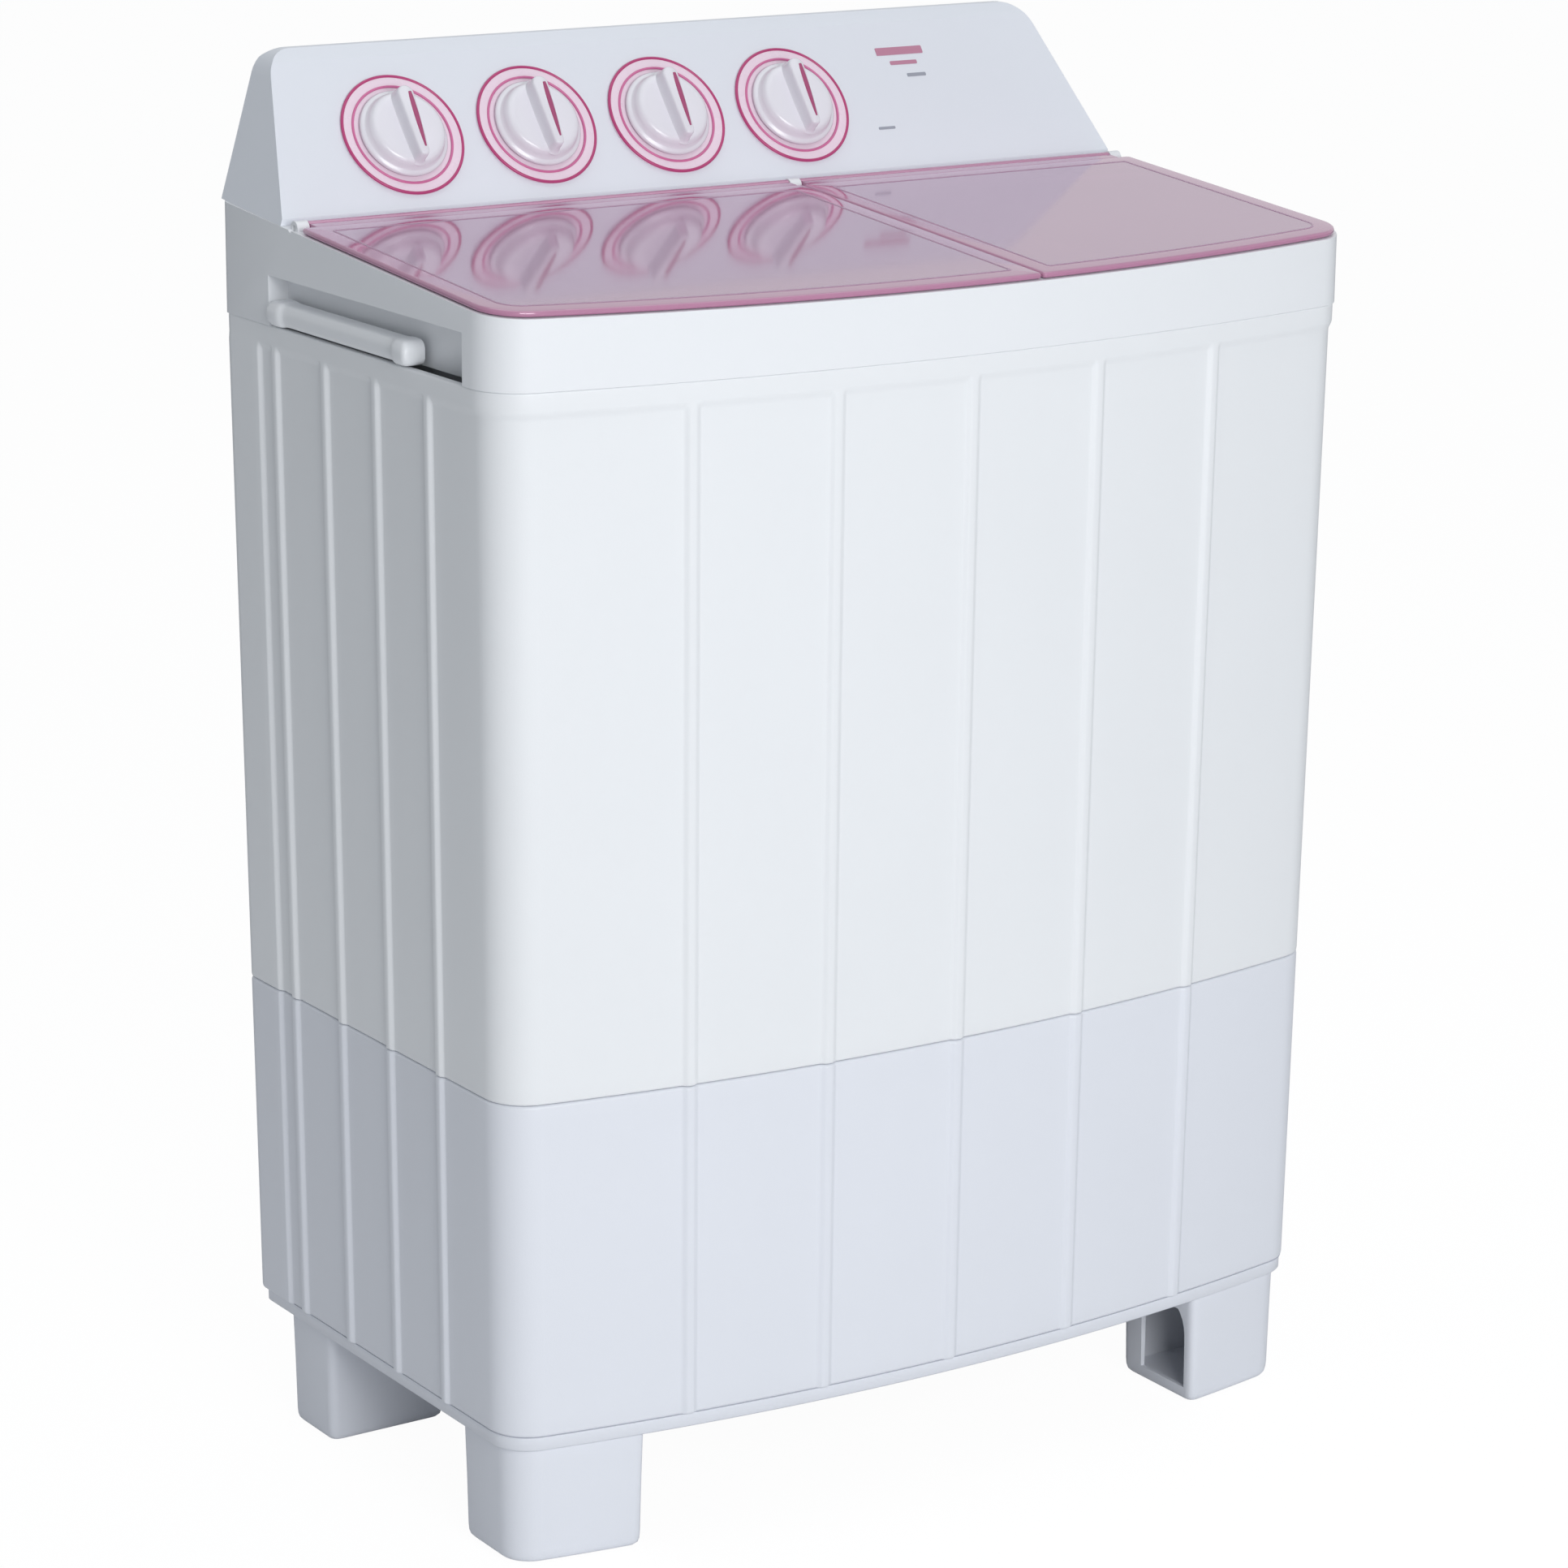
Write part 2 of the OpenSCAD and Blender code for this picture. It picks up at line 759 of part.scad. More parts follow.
module pulsator_screw() {
  color("silver") translate([wash_x, 0, tub_floor + 28])
    union() {
      cylinder(r = 6.5, h = 3);
      translate([0, 0, -20]) cylinder(r = 3, h = 20.1);
    }
}

module pulsator_shaft() {
  color("silver") translate([wash_x, 0, 214])
    difference() {
      cylinder(r = shaft_r, h = tub_floor + 23 - 214);
      translate([0, 0, tub_floor + 8 - 214]) cylinder(r = 3, h = 30);
    }
}

module gearbox() {
  color("darkgray") translate([wash_x, 0, 0])
    difference() {
      union() {
        translate([0, 0, 264]) cylinder(r = 50, h = 62);
        translate([0, 0, 248]) cylinder(r = 20, h = 18);
        translate([0, 0, 325]) cylinder(r = 66, h = 9.9);
      }
      translate([0, 0, 200]) cylinder(r = shaft_r + clear, h = 200);
    }
}

module shaft_seal() {
  color("dimgray") translate([wash_x, 0, tub_floor - tub_wall]) tube(14, shaft_r + clear, 6.5);
}

// A grooved wheel for the belt.
module vee_wheel(r, bore) {
  rotate_extrude()
    polygon([[bore, 0], [r, 0], [r, 4], [r - 6, 7], [r - 6, 11], [r, 14], [r, 18], [bore, 18]]);
}

module drive_pulley() {
  color("silver") translate([wash_x, 0, belt_z - 9])
    difference() {
      vee_wheel(drive_pulley_r, shaft_r);
      for (a = [0:60:300]) rotate(a) translate([38, 0, -1]) cylinder(r = 13, h = 30);
    }
}

module motor_pulley() {
  color("silver") translate([wash_motor_x, wash_motor_y, belt_z - 9])
    union() {
      vee_wheel(motor_pulley_r, 4);
      translate([0, 0, -2]) cylinder(r = 5, h = 70);
    }
}

module belt_loop(grow) {
  hull() {
    translate([wash_x, 0]) circle(r = drive_pulley_r - 5.4 + grow, $fn = 72);
    translate([wash_motor_x, wash_motor_y]) circle(r = motor_pulley_r - 5.4 + grow, $fn = 32);
  }
}

module drive_belt() {
  color("dimgray") translate([0, 0, belt_z - 1.6])
    linear_extrude(3.2) difference() {
      belt_loop(5);
      belt_loop(0);
    }
}

module wash_motor() {
  color("slategray") translate([wash_motor_x, wash_motor_y, 0])
    difference() {
      union() {
        translate([0, 0, 252]) cylinder(r = 50, h = 62);
        translate([0, 0, 246]) cylinder(r = 18, h = 10);
        for (a = [0:90:270]) rotate(a + 45) translate([44, -7, 306]) cube([14, 14, 8]);
      }
      translate([0, 0, 240]) cylinder(r = 5 + clear, h = 60);
    }
}

module motor_bracket() {
  color("silver")
    difference() {
      union() {
        translate([-38, 4, 331]) cube([82, 108, 3.9]);
        for (a = [0:90:270]) translate([wash_motor_x, wash_motor_y, 314.05]) rotate(a + 45)
          translate([51, 0, 0]) cylinder(r = 5, h = 8);
        translate([-38, 4, 321]) cube([110, 108, 3]);
        for (x = [-38, 38]) translate([x, 4, 321]) cube([3, 108, 13]);
      }
      translate([wash_motor_x, wash_motor_y, 300]) cylinder(r = 34, h = 26);
    }
}

// ---------- spin drive ----------

basket_z = [386, 728];

module spin_basket() {
  color("aliceblue") translate([spin_x, 0, 0])
    difference() {
      union() {
        translate([0, 0, basket_z[0]]) cylinder(r = basket_r, h = basket_z[1] - basket_z[0]);
        translate([0, 0, basket_z[1] - 14]) cylinder(r = basket_r + 4, h = 14);
        translate([0, 0, basket_z[0] - 20]) cylinder(r = 34, h = 22);
      }
      translate([0, 0, basket_z[0] + 4]) cylinder(r = basket_r - 2.5, h = 400);
      translate([0, 0, 300]) cylinder(r = spin_shaft_r, h = 200);
      for (z = [420:56:700], a = [0:36:324])
        rotate(a + z) translate([basket_r - 20, 0, z]) rotate([0, 90, 0]) cylinder(r = 4, h = 40);
      for (a = [0:45:315]) rotate(a) translate([70, 0, 300]) cylinder(r = 4, h = 200);
    }
}

cap_z = 690;

module spin_cap() {
  color("lightskyblue") translate([spin_x, 0, cap_z])
    difference() {
      union() {
        cylinder(r = basket_r - 5, h = 5);
        translate([-30, -4, 0]) cube([60, 8, 22]);
      }
      for (a = [0:30:330], r = [48, 76]) rotate(a) translate([r, 0, -1]) cylinder(r = 5, h = 10);
      translate([-20, -6, 8]) cube([40, 12, 8]);
    }
}

module spin_shaft() {
  color("silver") translate([spin_x, 0, 172]) cylinder(r = spin_shaft_r, h = 222);
}

module bellows_seal() {
  color("dimgray") translate([spin_x, 0, tub_floor - tub_wall])
    rotate_extrude()
      polygon([[spin_shaft_r + clear, 14], [spin_shaft_r + clear, 26], [12, 26], [14, 18], [18, 22],
        [22, 10], [26, 14], [30, 6], [36, 6], [36, 3.1], [30, 3.1], [30, 0], [27, 0], [27, 6],
        [24, 9], [22, 5], [18, 16], [14, 12]]);
}

drum_z = 286;
drum_r = 44;

module brake_drum() {
  color("darkgray") translate([spin_x, 0, drum_z])
    difference() {
      cylinder(r = drum_r, h = 22);
      translate([0, 0, 6]) difference() {
        cylinder(r = drum_r - 5, h = 20);
        cylinder(r = 16, h = 20);
      }
      translate([0, 0, -1]) cylinder(r = spin_shaft_r, h = 30);
    }
}

brake_x = spin_x - 68;
brake_y = 30;

module brake_lever() {
  color("silver")
    difference() {
      union() {
        translate([brake_x, brake_y, 288]) cylinder(r = 8, h = 10);
        translate([brake_x - 5, -12, 288]) cube([10, brake_y + 12, 10]);
        translate([brake_x, -10, 288]) cube([21, 20, 10]);
        translate([brake_x - 26, -12, 288]) cube([24, 8, 10]);
      }
      translate([brake_x, brake_y, 280]) cylinder(r = 4 + clear, h = 30);
    }
}

module brake_bracket() {
  color("silver")
    union() {
      translate([brake_x, brake_y, 256]) cylinder(r = 4, h = 46);
      translate([brake_x, brake_y, 256]) cylinder(r = 9, h = 31.8);
      translate([brake_x - 9, brake_y - 9, 255]) cube([40, 18, 4]);
    }
}

module spin_motor() {
  color("slategray") translate([spin_x, 0, 0])
    difference() {
      union() {
        translate([0, 0, 170]) cylinder(r = 60, h = 84.9);
        translate([0, 0, 162]) cylinder(r = 84, h = 5);
        translate([0, 0, 166]) cylinder(r = 52, h = 5);
      }
      translate([0, 0, 171]) cylinder(r = spin_shaft_r + clear, h = 100);
    }
}

support_z = 112;

module motor_support() {
  color("darkgray")
    union() {
      translate([spin_x - 62, -150, support_z]) cube([124, 284, 4]);
      for (y = [-150, 130]) translate([spin_x - 62, y, 97.2]) cube([124, 4, 16]);
      for (x = [-62, 58]) translate([spin_x + x, -150, support_z - 8]) cube([4, 284, 9]);
    }
}

module motor_dampers() {
  color("dimgray")
    for (a = [90, 210, 330])
      translate([spin_x, 0, support_z + 4]) rotate(a) translate([62, 0, 0])
        rotate_extrude()
          polygon([[0, 0], [16, 0], [16, 5], [11, 9], [14, 15], [11, 21], [14, 27], [11, 33], [14, 39],
            [14, 45.9], [0, 45.9]]);
}

// ---------- water, drain, wires ----------

module drain_valve() {
  color("ivory")
    difference() {
      union() {
        translate([drain_x, drain_y, 264]) cylinder(r = 19, h = 100);
        difference() {
          union() {
            rod([drain_x, drain_y, 350], [drain_x, 40, 350], pipe_r + 2);
            rod([48.1, 90, 350], [drain_x, 90, 350], pipe_r + 2);
          }
          translate([spin_x, 0, 300]) cylinder(r = spin_tub_r + 0.1, h = 100);
        }
        translate([drain_x, drain_y, 240]) cylinder(r = 13, h = 30);
      }
      translate([drain_x, drain_y, 270]) cylinder(r = 16, h = 100);
      translate([drain_x, drain_y, 230]) cylinder(r = hose_r, h = 28);
      translate([drain_x, drain_y, 230]) cylinder(r = 9, h = 60);
      rod([drain_x, drain_y, 350], [drain_x, 30, 350], pipe_r);
      rod([40, 90, 350], [drain_x, 90, 350], pipe_r);
    }
}

module drain_plunger() {
  color("dimgray")
    translate([drain_x, drain_y, 0])
      union() {
        translate([0, 0, 270.1]) cylinder(r = 13, h = 8);
        translate([0, 0, 275]) cylinder(r = 4, h = 95);
        translate([0, 0, 300]) cylinder(r = 15.5, h = 5);
      }
}

module drain_strap() {
  color("white")
    translate([drain_x - 5, drain_y - 1, 370]) cube([10, 2, 470]);
}

hose_top = 640;

hose_y = half_d - hose_r - 1.5;
hose_bend = 30;
mouth_z = 420;

module drain_hose() {
  color("lightgray")
    difference() {
      union() {
        run([[drain_x, drain_y, 256.5], [drain_x, drain_y, outlet_z], [hose_x, drain_y, outlet_z],
          [hose_x, hose_y, outlet_z], [hose_x, hose_y, hose_top]], hose_r);
        translate([hose_x - hose_bend, hose_y, hose_top]) u_turn(hose_bend, hose_r);
        rod([hose_x - 2 * hose_bend, hose_y, hose_top], [hose_x - 2 * hose_bend, hose_y, mouth_z], hose_r);
      }
      translate([hose_x - 2 * hose_bend, hose_y, mouth_z - 5]) cylinder(r = 9, h = 65);
      translate([drain_x, drain_y, 200]) cylinder(r = 9, h = 60);
    }
}

module hose_clip() {
  color("white")
    translate([hose_x, hose_y, 560])
      difference() {
        union() {
          cylinder(r = hose_r + 2, h = 16);
          translate([-6, -hose_r - 2.6, 0]) cube([12, 6, 16]);
        }
        translate([0, 0, -1]) cylinder(r = hose_r + 0.2, h = 20);
        translate([-hose_r + 2, 0, -1]) cube([2 * hose_r - 4, 40, 20]);
      }
}

pipe_z = 866;

module water_inlet() {
  color("ivory")
    difference() {
      union() {
        translate([inlet_x, half_d - cup_depth - 0.4, inlet_z]) rotate([-90, 0, 0]) cylinder(r = 13, h = 3);
        translate([inlet_x, half_d - cup_depth - 10, inlet_z]) rotate([-90, 0, 0]) cylinder(r = 9, h = 32);
        run([[inlet_x, half_d - cup_depth - 9.5, inlet_z], [inlet_x, half_d - cup_depth - 9.5, pipe_z],
          [inlet_x, half_d - 18, pipe_z], [wash_x, half_d - 18, pipe_z], [wash_x, 147, pipe_z],
          [wash_x, 147, collar_z + 4]], 6);
      }
      translate([inlet_x, half_d - cup_depth - 4, inlet_z]) rotate([-90, 0, 0]) cylinder(r = 6, h = 40);
    }
}

module capacitor() {
  color("silver")
    union() {
      translate([-60, 130, 190]) rotate([0, 90, 0]) cylinder(r = 18, h = 70);
      translate([-58, 140, 170]) cube([66, 22, 4]);
    }
}

module wiring_harness() {
  color("dimgray")
    union() {
      run([[0, 157, 872], [0, 157, 250], [wash_motor_x, 157, 250], [wash_motor_x, 157, 290],
        [wash_motor_x, 113, 290]], 3);
      run([[0, 157, 230], [0, 157, 216], [spin_x, 157, 216], [spin_x, 61, 216]], 3);
      rod([0, 157, 252], [0, 157, 228], 3);
    }
}

cord_bend = 22;
cord_y = half_d - 7;

module power_cord() {
  color("darkslategray")
    union() {
      run([[cord_x, recess_y - 30, outlet_z], [cord_x, cord_y, outlet_z], [cord_x, cord_y, 520]], 4);
      translate([cord_x + cord_bend, cord_y, 520]) u_turn(cord_bend, 4);
      rod([cord_x + 2 * cord_bend, cord_y, 520], [cord_x + 2 * cord_bend, cord_y, 300], 4);
      translate([cord_x + 2 * cord_bend - 17, half_d - 22, 262]) cube([34, 20, 40]);
      for (s = [-1, 1])
        translate([cord_x + 2 * cord_bend + s * 9.5, half_d - 12, 244]) cylinder(r = 2.4, h = 20);
    }
}

base();
foot_pads();
cabinet();
top_frame();
side_handles();
console();
console_back();
console_screws();
back_cover();
back_cover_screws();
bottom_guard();
tub_set();
wash_lid();
spin_lid();
lid_hinge_pins();
knob_bezels();
wash_timer_knob();
wash_mode_knob();
spin_timer_knob();
drain_knob();
wash_timer();
wash_mode_switch();
spin_timer();
drain_selector();
buzzer();
pulsator();
pulsator_screw();
pulsator_shaft();
gearbox();
shaft_seal();
drive_pulley();
drive_belt();
wash_motor();
motor_pulley();
motor_bracket();
spin_basket();
spin_cap();
spin_shaft();
bellows_seal();
brake_drum();
brake_lever();
brake_bracket();
spin_motor();
motor_support();
motor_dampers();
lint_filter();
overflow_cover();
drain_valve();
drain_plunger();
drain_strap();
drain_hose();
hose_clip();
water_inlet();
lid_switch();
capacitor();
wiring_harness();
power_cord();
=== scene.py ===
import json
import math
import bpy
import bmesh
import numpy as np
from mathutils import Matrix, Vector

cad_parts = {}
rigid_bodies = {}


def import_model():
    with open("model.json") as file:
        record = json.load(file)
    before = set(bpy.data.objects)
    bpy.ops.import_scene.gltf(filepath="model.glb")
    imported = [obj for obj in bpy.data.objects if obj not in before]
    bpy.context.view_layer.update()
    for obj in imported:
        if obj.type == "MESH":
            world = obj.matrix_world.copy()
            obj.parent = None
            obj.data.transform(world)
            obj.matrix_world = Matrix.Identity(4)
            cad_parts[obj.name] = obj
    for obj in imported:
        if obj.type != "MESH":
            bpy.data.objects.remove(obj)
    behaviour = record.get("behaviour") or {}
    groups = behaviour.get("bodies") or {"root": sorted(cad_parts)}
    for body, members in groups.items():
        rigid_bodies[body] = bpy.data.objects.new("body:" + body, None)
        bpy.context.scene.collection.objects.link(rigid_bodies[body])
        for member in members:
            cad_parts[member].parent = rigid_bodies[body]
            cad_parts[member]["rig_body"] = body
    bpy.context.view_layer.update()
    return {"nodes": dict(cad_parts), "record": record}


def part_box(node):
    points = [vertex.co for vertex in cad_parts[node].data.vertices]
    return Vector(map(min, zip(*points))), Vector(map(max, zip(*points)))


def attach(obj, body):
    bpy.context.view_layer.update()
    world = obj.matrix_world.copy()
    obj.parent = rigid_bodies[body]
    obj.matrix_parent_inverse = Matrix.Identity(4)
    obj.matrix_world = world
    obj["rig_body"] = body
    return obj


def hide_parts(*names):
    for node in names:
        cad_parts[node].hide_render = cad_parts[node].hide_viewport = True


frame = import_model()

MM = 0.001
scene = bpy.context.scene
record = frame["record"]

# ---------------------------------------------------------------- dimensions
rim_low, rim_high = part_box("top_frame")
cab_low, cab_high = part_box("cabinet")
con_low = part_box("console")[0]
HALF_W = rim_high.x
HALF_D = -rim_low.y
SEAM_Z = cab_low.z
RIM_Z = cab_high.z
SKIRT_Z = 94 * MM
LIP_Z = 84 * MM
FLOOR_Z = 97 * MM
LID_Z = RIM_Z + 48 * MM
LID_SLOPE = math.radians(4.6)
TAPER = 8 * MM
BOW = 35.6 * MM
FRONT_R = 34 * MM
BACK_R = 12 * MM
RECESS_W = 300 * MM
RECESS_Y = HALF_D - 26 * MM
RIB_H = 2.5 * MM
RIB_HALF = 4 * MM
RIB_SOFT = 2.4 * MM
FRONT_RIBS = [i * 104 * MM for i in range(-2, 3)]
SIDE_RIBS = [(i * 68 - 9) * MM for i in range(-1, 3)]
COLUMN_Y = 148 * MM
WALL = 3 * MM
FIT_GAP = 0.4 * MM
SEAM_GAP = 0.2 * MM
SEAM_R = 2 * MM
SKIRT_R = 2.6 * MM
RECESS_R = 3 * MM
LEG_INSET = 10 * MM
LEG_CORNER_R = 7 * MM
LEG_INNER_X = 237 * MM
FRONT_LEG_Y = -88 * MM
REAR_LEG_Y = (106 * MM, 164 * MM)
LEG_WALL = 3.2 * MM
FLOOR_WIDE = (232 * MM, -83 * MM, 101 * MM)
FLOOR_DEEP = (205 * MM, -150 * MM, 140 * MM)
OUTLET_Z = 150 * MM
TINY = 1e-9
FAR = 9
SOFT_ANGLE = 35
FLAT_ANGLE = 8
SHELL_ANGLE = 50
BOW_R = (HALF_W ** 2 + BOW ** 2) / (2 * BOW)
BOW_Y = BOW_R - HALF_D
CORNER_X = HALF_W - FRONT_R
CORNER_Y = BOW_Y - math.sqrt((BOW_R - FRONT_R) ** 2 - CORNER_X ** 2)
CORNER_A = math.atan2(BOW_Y - CORNER_Y, CORNER_X)


def lean_scale(z):
    """How much the body's plan shrinks at height z."""
    inset = TAPER * (LID_Z - z) / (LID_Z - SKIRT_Z)
    return 1 - inset / HALF_W, 1 - inset / HALF_D


# ---------------------------------------------------------------- materials
def node(tree, kind, **values):
    made = tree.nodes.new(kind)
    for key, value in values.items():
        if key in made.inputs:
            made.inputs[key].default_value = value
        else:
            setattr(made, key, value)
    return made


def finish_maps(tree, shader, colour, rough, grain, bump, mottle, stretch=(1, 1, 1), second=None):
    """Fine grain bump, uneven roughness and a faint drift of colour."""
    links = tree.links
    coords = node(tree, "ShaderNodeTexCoord")
    mapping = node(tree, "ShaderNodeMapping")
    mapping.inputs["Scale"].default_value = stretch
    links.new(coords.outputs["Object"], mapping.inputs["Vector"])
    fine = node(tree, "ShaderNodeTexNoise", Scale=grain, Detail=4.0, Roughness=0.6)
    links.new(mapping.outputs["Vector"], fine.inputs["Vector"])
    wide = node(tree, "ShaderNodeTexNoise", Scale=5.0, Detail=3.0)
    links.new(coords.outputs["Object"], wide.inputs["Vector"])
    smear = node(tree, "ShaderNodeTexNoise", Scale=38.0, Detail=5.0)
    links.new(mapping.outputs["Vector"], smear.inputs["Vector"])
    tint = node(tree, "ShaderNodeMapRange")
    tint.inputs["From Min"].default_value = 0.3
    tint.inputs["From Max"].default_value = 0.7
    links.new(wide.outputs["Fac"], tint.inputs["Value"])
    mixed = tree.nodes.new("ShaderNodeMix")
    mixed.data_type = "RGBA"
    other = second or tuple(max(0.0, c * (1 - mottle)) for c in colour[:3])
    mixed.inputs["A"].default_value = (*colour[:3], 1)
    mixed.inputs["B"].default_value = (*other[:3], 1)
    links.new(tint.outputs["Result"], mixed.inputs["Factor"])
    links.new(mixed.outputs["Result"], shader.inputs["Base Color"])
    spread = node(tree, "ShaderNodeMapRange")
    spread.inputs["To Min"].default_value = max(0.02, rough - 0.03)
    spread.inputs["To Max"].default_value = min(1.0, rough + 0.05)
    links.new(smear.outputs["Fac"], spread.inputs["Value"])
    links.new(spread.outputs["Result"], shader.inputs["Roughness"])
    bumped = node(tree, "ShaderNodeBump")
    bumped.inputs["Strength"].default_value = bump
    bumped.inputs["Distance"].default_value = 0.0004
    links.new(fine.outputs["Fac"], bumped.inputs["Height"])
    links.new(bumped.outputs["Normal"], shader.inputs["Normal"])


def material(name, colour, rough=0.4, metal=0.0, grain=900.0, bump=0.12, mottle=0.03,
             stretch=(1, 1, 1), coat=0.0, second=None, ior=1.46):
    made = bpy.data.materials.new(name)
    made.use_nodes = True
    tree = made.node_tree
    shader = tree.nodes["Principled BSDF"]
    shader.inputs["Metallic"].default_value = metal
    shader.inputs["IOR"].default_value = ior
    shader.inputs["Coat Weight"].default_value = coat
    shader.inputs["Coat Roughness"].default_value = 0.12
    finish_maps(tree, shader, colour, rough, grain, bump, mottle, stretch, second)
    return made


def lid_material(name, film, body, share, rough=0.07):
    """Tinted see-through acrylic with a clear gloss."""
    made = bpy.data.materials.new(name)
    made.use_nodes = True
    tree = made.node_tree
    shader = tree.nodes["Principled BSDF"]
    output = tree.nodes["Material Output"]
    finish_maps(tree, shader, body, rough, 420.0, 0.05, 0.06)
    shader.inputs["IOR"].default_value = 1.5
    clear = node(tree, "ShaderNodeBsdfTransparent", Color=(*film, 1))
    through = node(tree, "ShaderNodeMixShader", Fac=share)
    tree.links.new(clear.outputs[0], through.inputs[1])
    tree.links.new(shader.outputs[0], through.inputs[2])
    gloss = node(tree, "ShaderNodeBsdfGlossy", Color=(0.90, 0.78, 0.88, 1), Roughness=rough)
    edge = node(tree, "ShaderNodeFresnel", IOR=1.55)
    top = node(tree, "ShaderNodeMixShader")
    tree.links.new(edge.outputs[0], top.inputs["Fac"])
    tree.links.new(through.outputs[0], top.inputs[1])
    tree.links.new(gloss.outputs[0], top.inputs[2])
    tree.links.new(top.outputs[0], output.inputs["Surface"])
    return made


MATERIALS = {
    "cabinet_plastic": material("cabinet_white", (0.85, 0.865, 0.885), 0.36, mottle=0.015),
    "base_plastic": material("base_lilac", (0.79, 0.81, 0.865), 0.38, mottle=0.015),
    "top_plastic": material("top_white", (0.855, 0.87, 0.895), 0.3, mottle=0.01, coat=0.1),
    "panel_plastic": material("panel_grey", (0.79, 0.82, 0.875), 0.34, mottle=0.015),
    "pink_trim": material("pink_trim", (0.72, 0.10, 0.26), 0.3, mottle=0.12),
    "knob_plastic": material("knob_white", (0.82, 0.81, 0.86), 0.22, mottle=0.02, coat=0.3),
    "tub_plastic": material("tub_white", (0.74, 0.77, 0.80), 0.4, mottle=0.04),
    "blue_plastic": material("pulsator_blue", (0.36, 0.55, 0.75), 0.32, mottle=0.05),
    "inner_plastic": material("inner_ivory", (0.72, 0.70, 0.62), 0.5, mottle=0.05),
    "dark_rubber": material("dark_rubber", (0.03, 0.03, 0.034), 0.72, bump=0.35, mottle=0.3),
    "grey_plastic": material("grey_plastic", (0.26, 0.27, 0.29), 0.55, bump=0.25, mottle=0.1),
    "hose_plastic": material("hose_grey", (0.50, 0.52, 0.55), 0.45, bump=0.2, mottle=0.06),
    "zinc_steel": material("zinc_steel", (0.62, 0.63, 0.64), 0.32, metal=1.0, grain=500.0,
                           bump=0.15, mottle=0.12, stretch=(1, 1, 0.05)),
    "motor_paint": material("motor_paint", (0.12, 0.14, 0.17), 0.45, bump=0.3, mottle=0.15),
    "cast_metal": material("cast_metal", (0.40, 0.41, 0.43), 0.55, metal=0.9, grain=260.0,
                           bump=0.5, mottle=0.2),
    "cord_rubber": material("cord_grey", (0.42, 0.43, 0.45), 0.5, bump=0.2, mottle=0.08),
    "lid_plastic": lid_material("lid_mauve", (0.94, 0.80, 0.90), (0.53, 0.31, 0.45), 0.84),
}
LID_BORDER = lid_material("lid_border", (0.82, 0.55, 0.70), (0.58, 0.25, 0.41), 0.86)
LID_LINE = material("lid_line", (0.50, 0.30, 0.44), 0.3, mottle=0.1)
PINK_LINE = material("pink_line", (0.50, 0.05, 0.19), 0.3, mottle=0.12)
# dark pink painted shade for the right side of the knob grips
GRIP_SHADE_PAINT = material("grip_painted_shade", (0.40, 0.07, 0.18), 0.3, mottle=0.1)
PINK_SOFT = material("pink_soft", (0.66, 0.17, 0.36), 0.3, mottle=0.08)
DIAL_LILAC = material("dial_lilac", (0.88, 0.72, 0.82), 0.26, mottle=0.04)
MARK_PINK = material("mark_pink", (0.56, 0.25, 0.36), 0.4, mottle=0.1)
MARK_GREY = material("mark_grey", (0.36, 0.38, 0.44), 0.4, mottle=0.1)

NODE_SLOT = {part["node"]: part["material_slot"] for part in record["subparts"]}
BODY_OF = {name: piece["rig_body"] for name, piece in frame["nodes"].items()}


# ---------------------------------------------------------------- mesh helpers
def piece_from(name, verts, faces, body, finish, slot=None, sharp=40.0):
    """A named piece from vertices and faces in the frame's metres."""
    mesh = bpy.data.meshes.new(name)
    mesh.from_pydata([tuple(v) for v in verts], [], [tuple(f) for f in faces])
    mesh.validate()
    return dress(name, mesh, body, finish, sharp)


def dress(name, mesh, body, finish, sharp=40.0):
    bm = bmesh.new()
    bm.from_mesh(mesh)
    bmesh.ops.remove_doubles(bm, verts=bm.verts, dist=1e-6)
    bmesh.ops.recalc_face_normals(bm, faces=bm.faces)
    bm.to_mesh(mesh)
    bm.free()
    mesh.shade_smooth()
    mesh.set_sharp_from_angle(angle=math.radians(sharp))
    made = bpy.data.objects.new(name, mesh)
    scene.collection.objects.link(made)
    mesh.materials.clear()
    mesh.materials.append(finish)
    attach(made, body)
    return made


def rings(loops, closed=False, caps=True):
    """Vertices and faces through equal loops of points; caps fill the first and last loop."""
    n = len(loops[0])
    verts = [p for loop in loops for p in loop]
    faces = []
    spans = len(loops) if closed else len(loops) - 1
    for k in range(spans):
        a, b = k * n, ((k + 1) % len(loops)) * n
        for i in range(n):
            j = (i + 1) % n
            faces.append((a + i, a + j, b + j, b + i))
    if caps and not closed:
        faces.append(tuple(reversed(range(n))))
        faces.append(tuple(range((len(loops) - 1) * n, len(loops) * n)))
    return verts, faces


def join(*parts):
    """One vertex and face list from several."""
    verts, faces = [], []
    for v, f in parts:
        base = len(verts)
        verts.extend(v)
        faces.extend(tuple(i + base for i in face) for face in f)
    return verts, faces


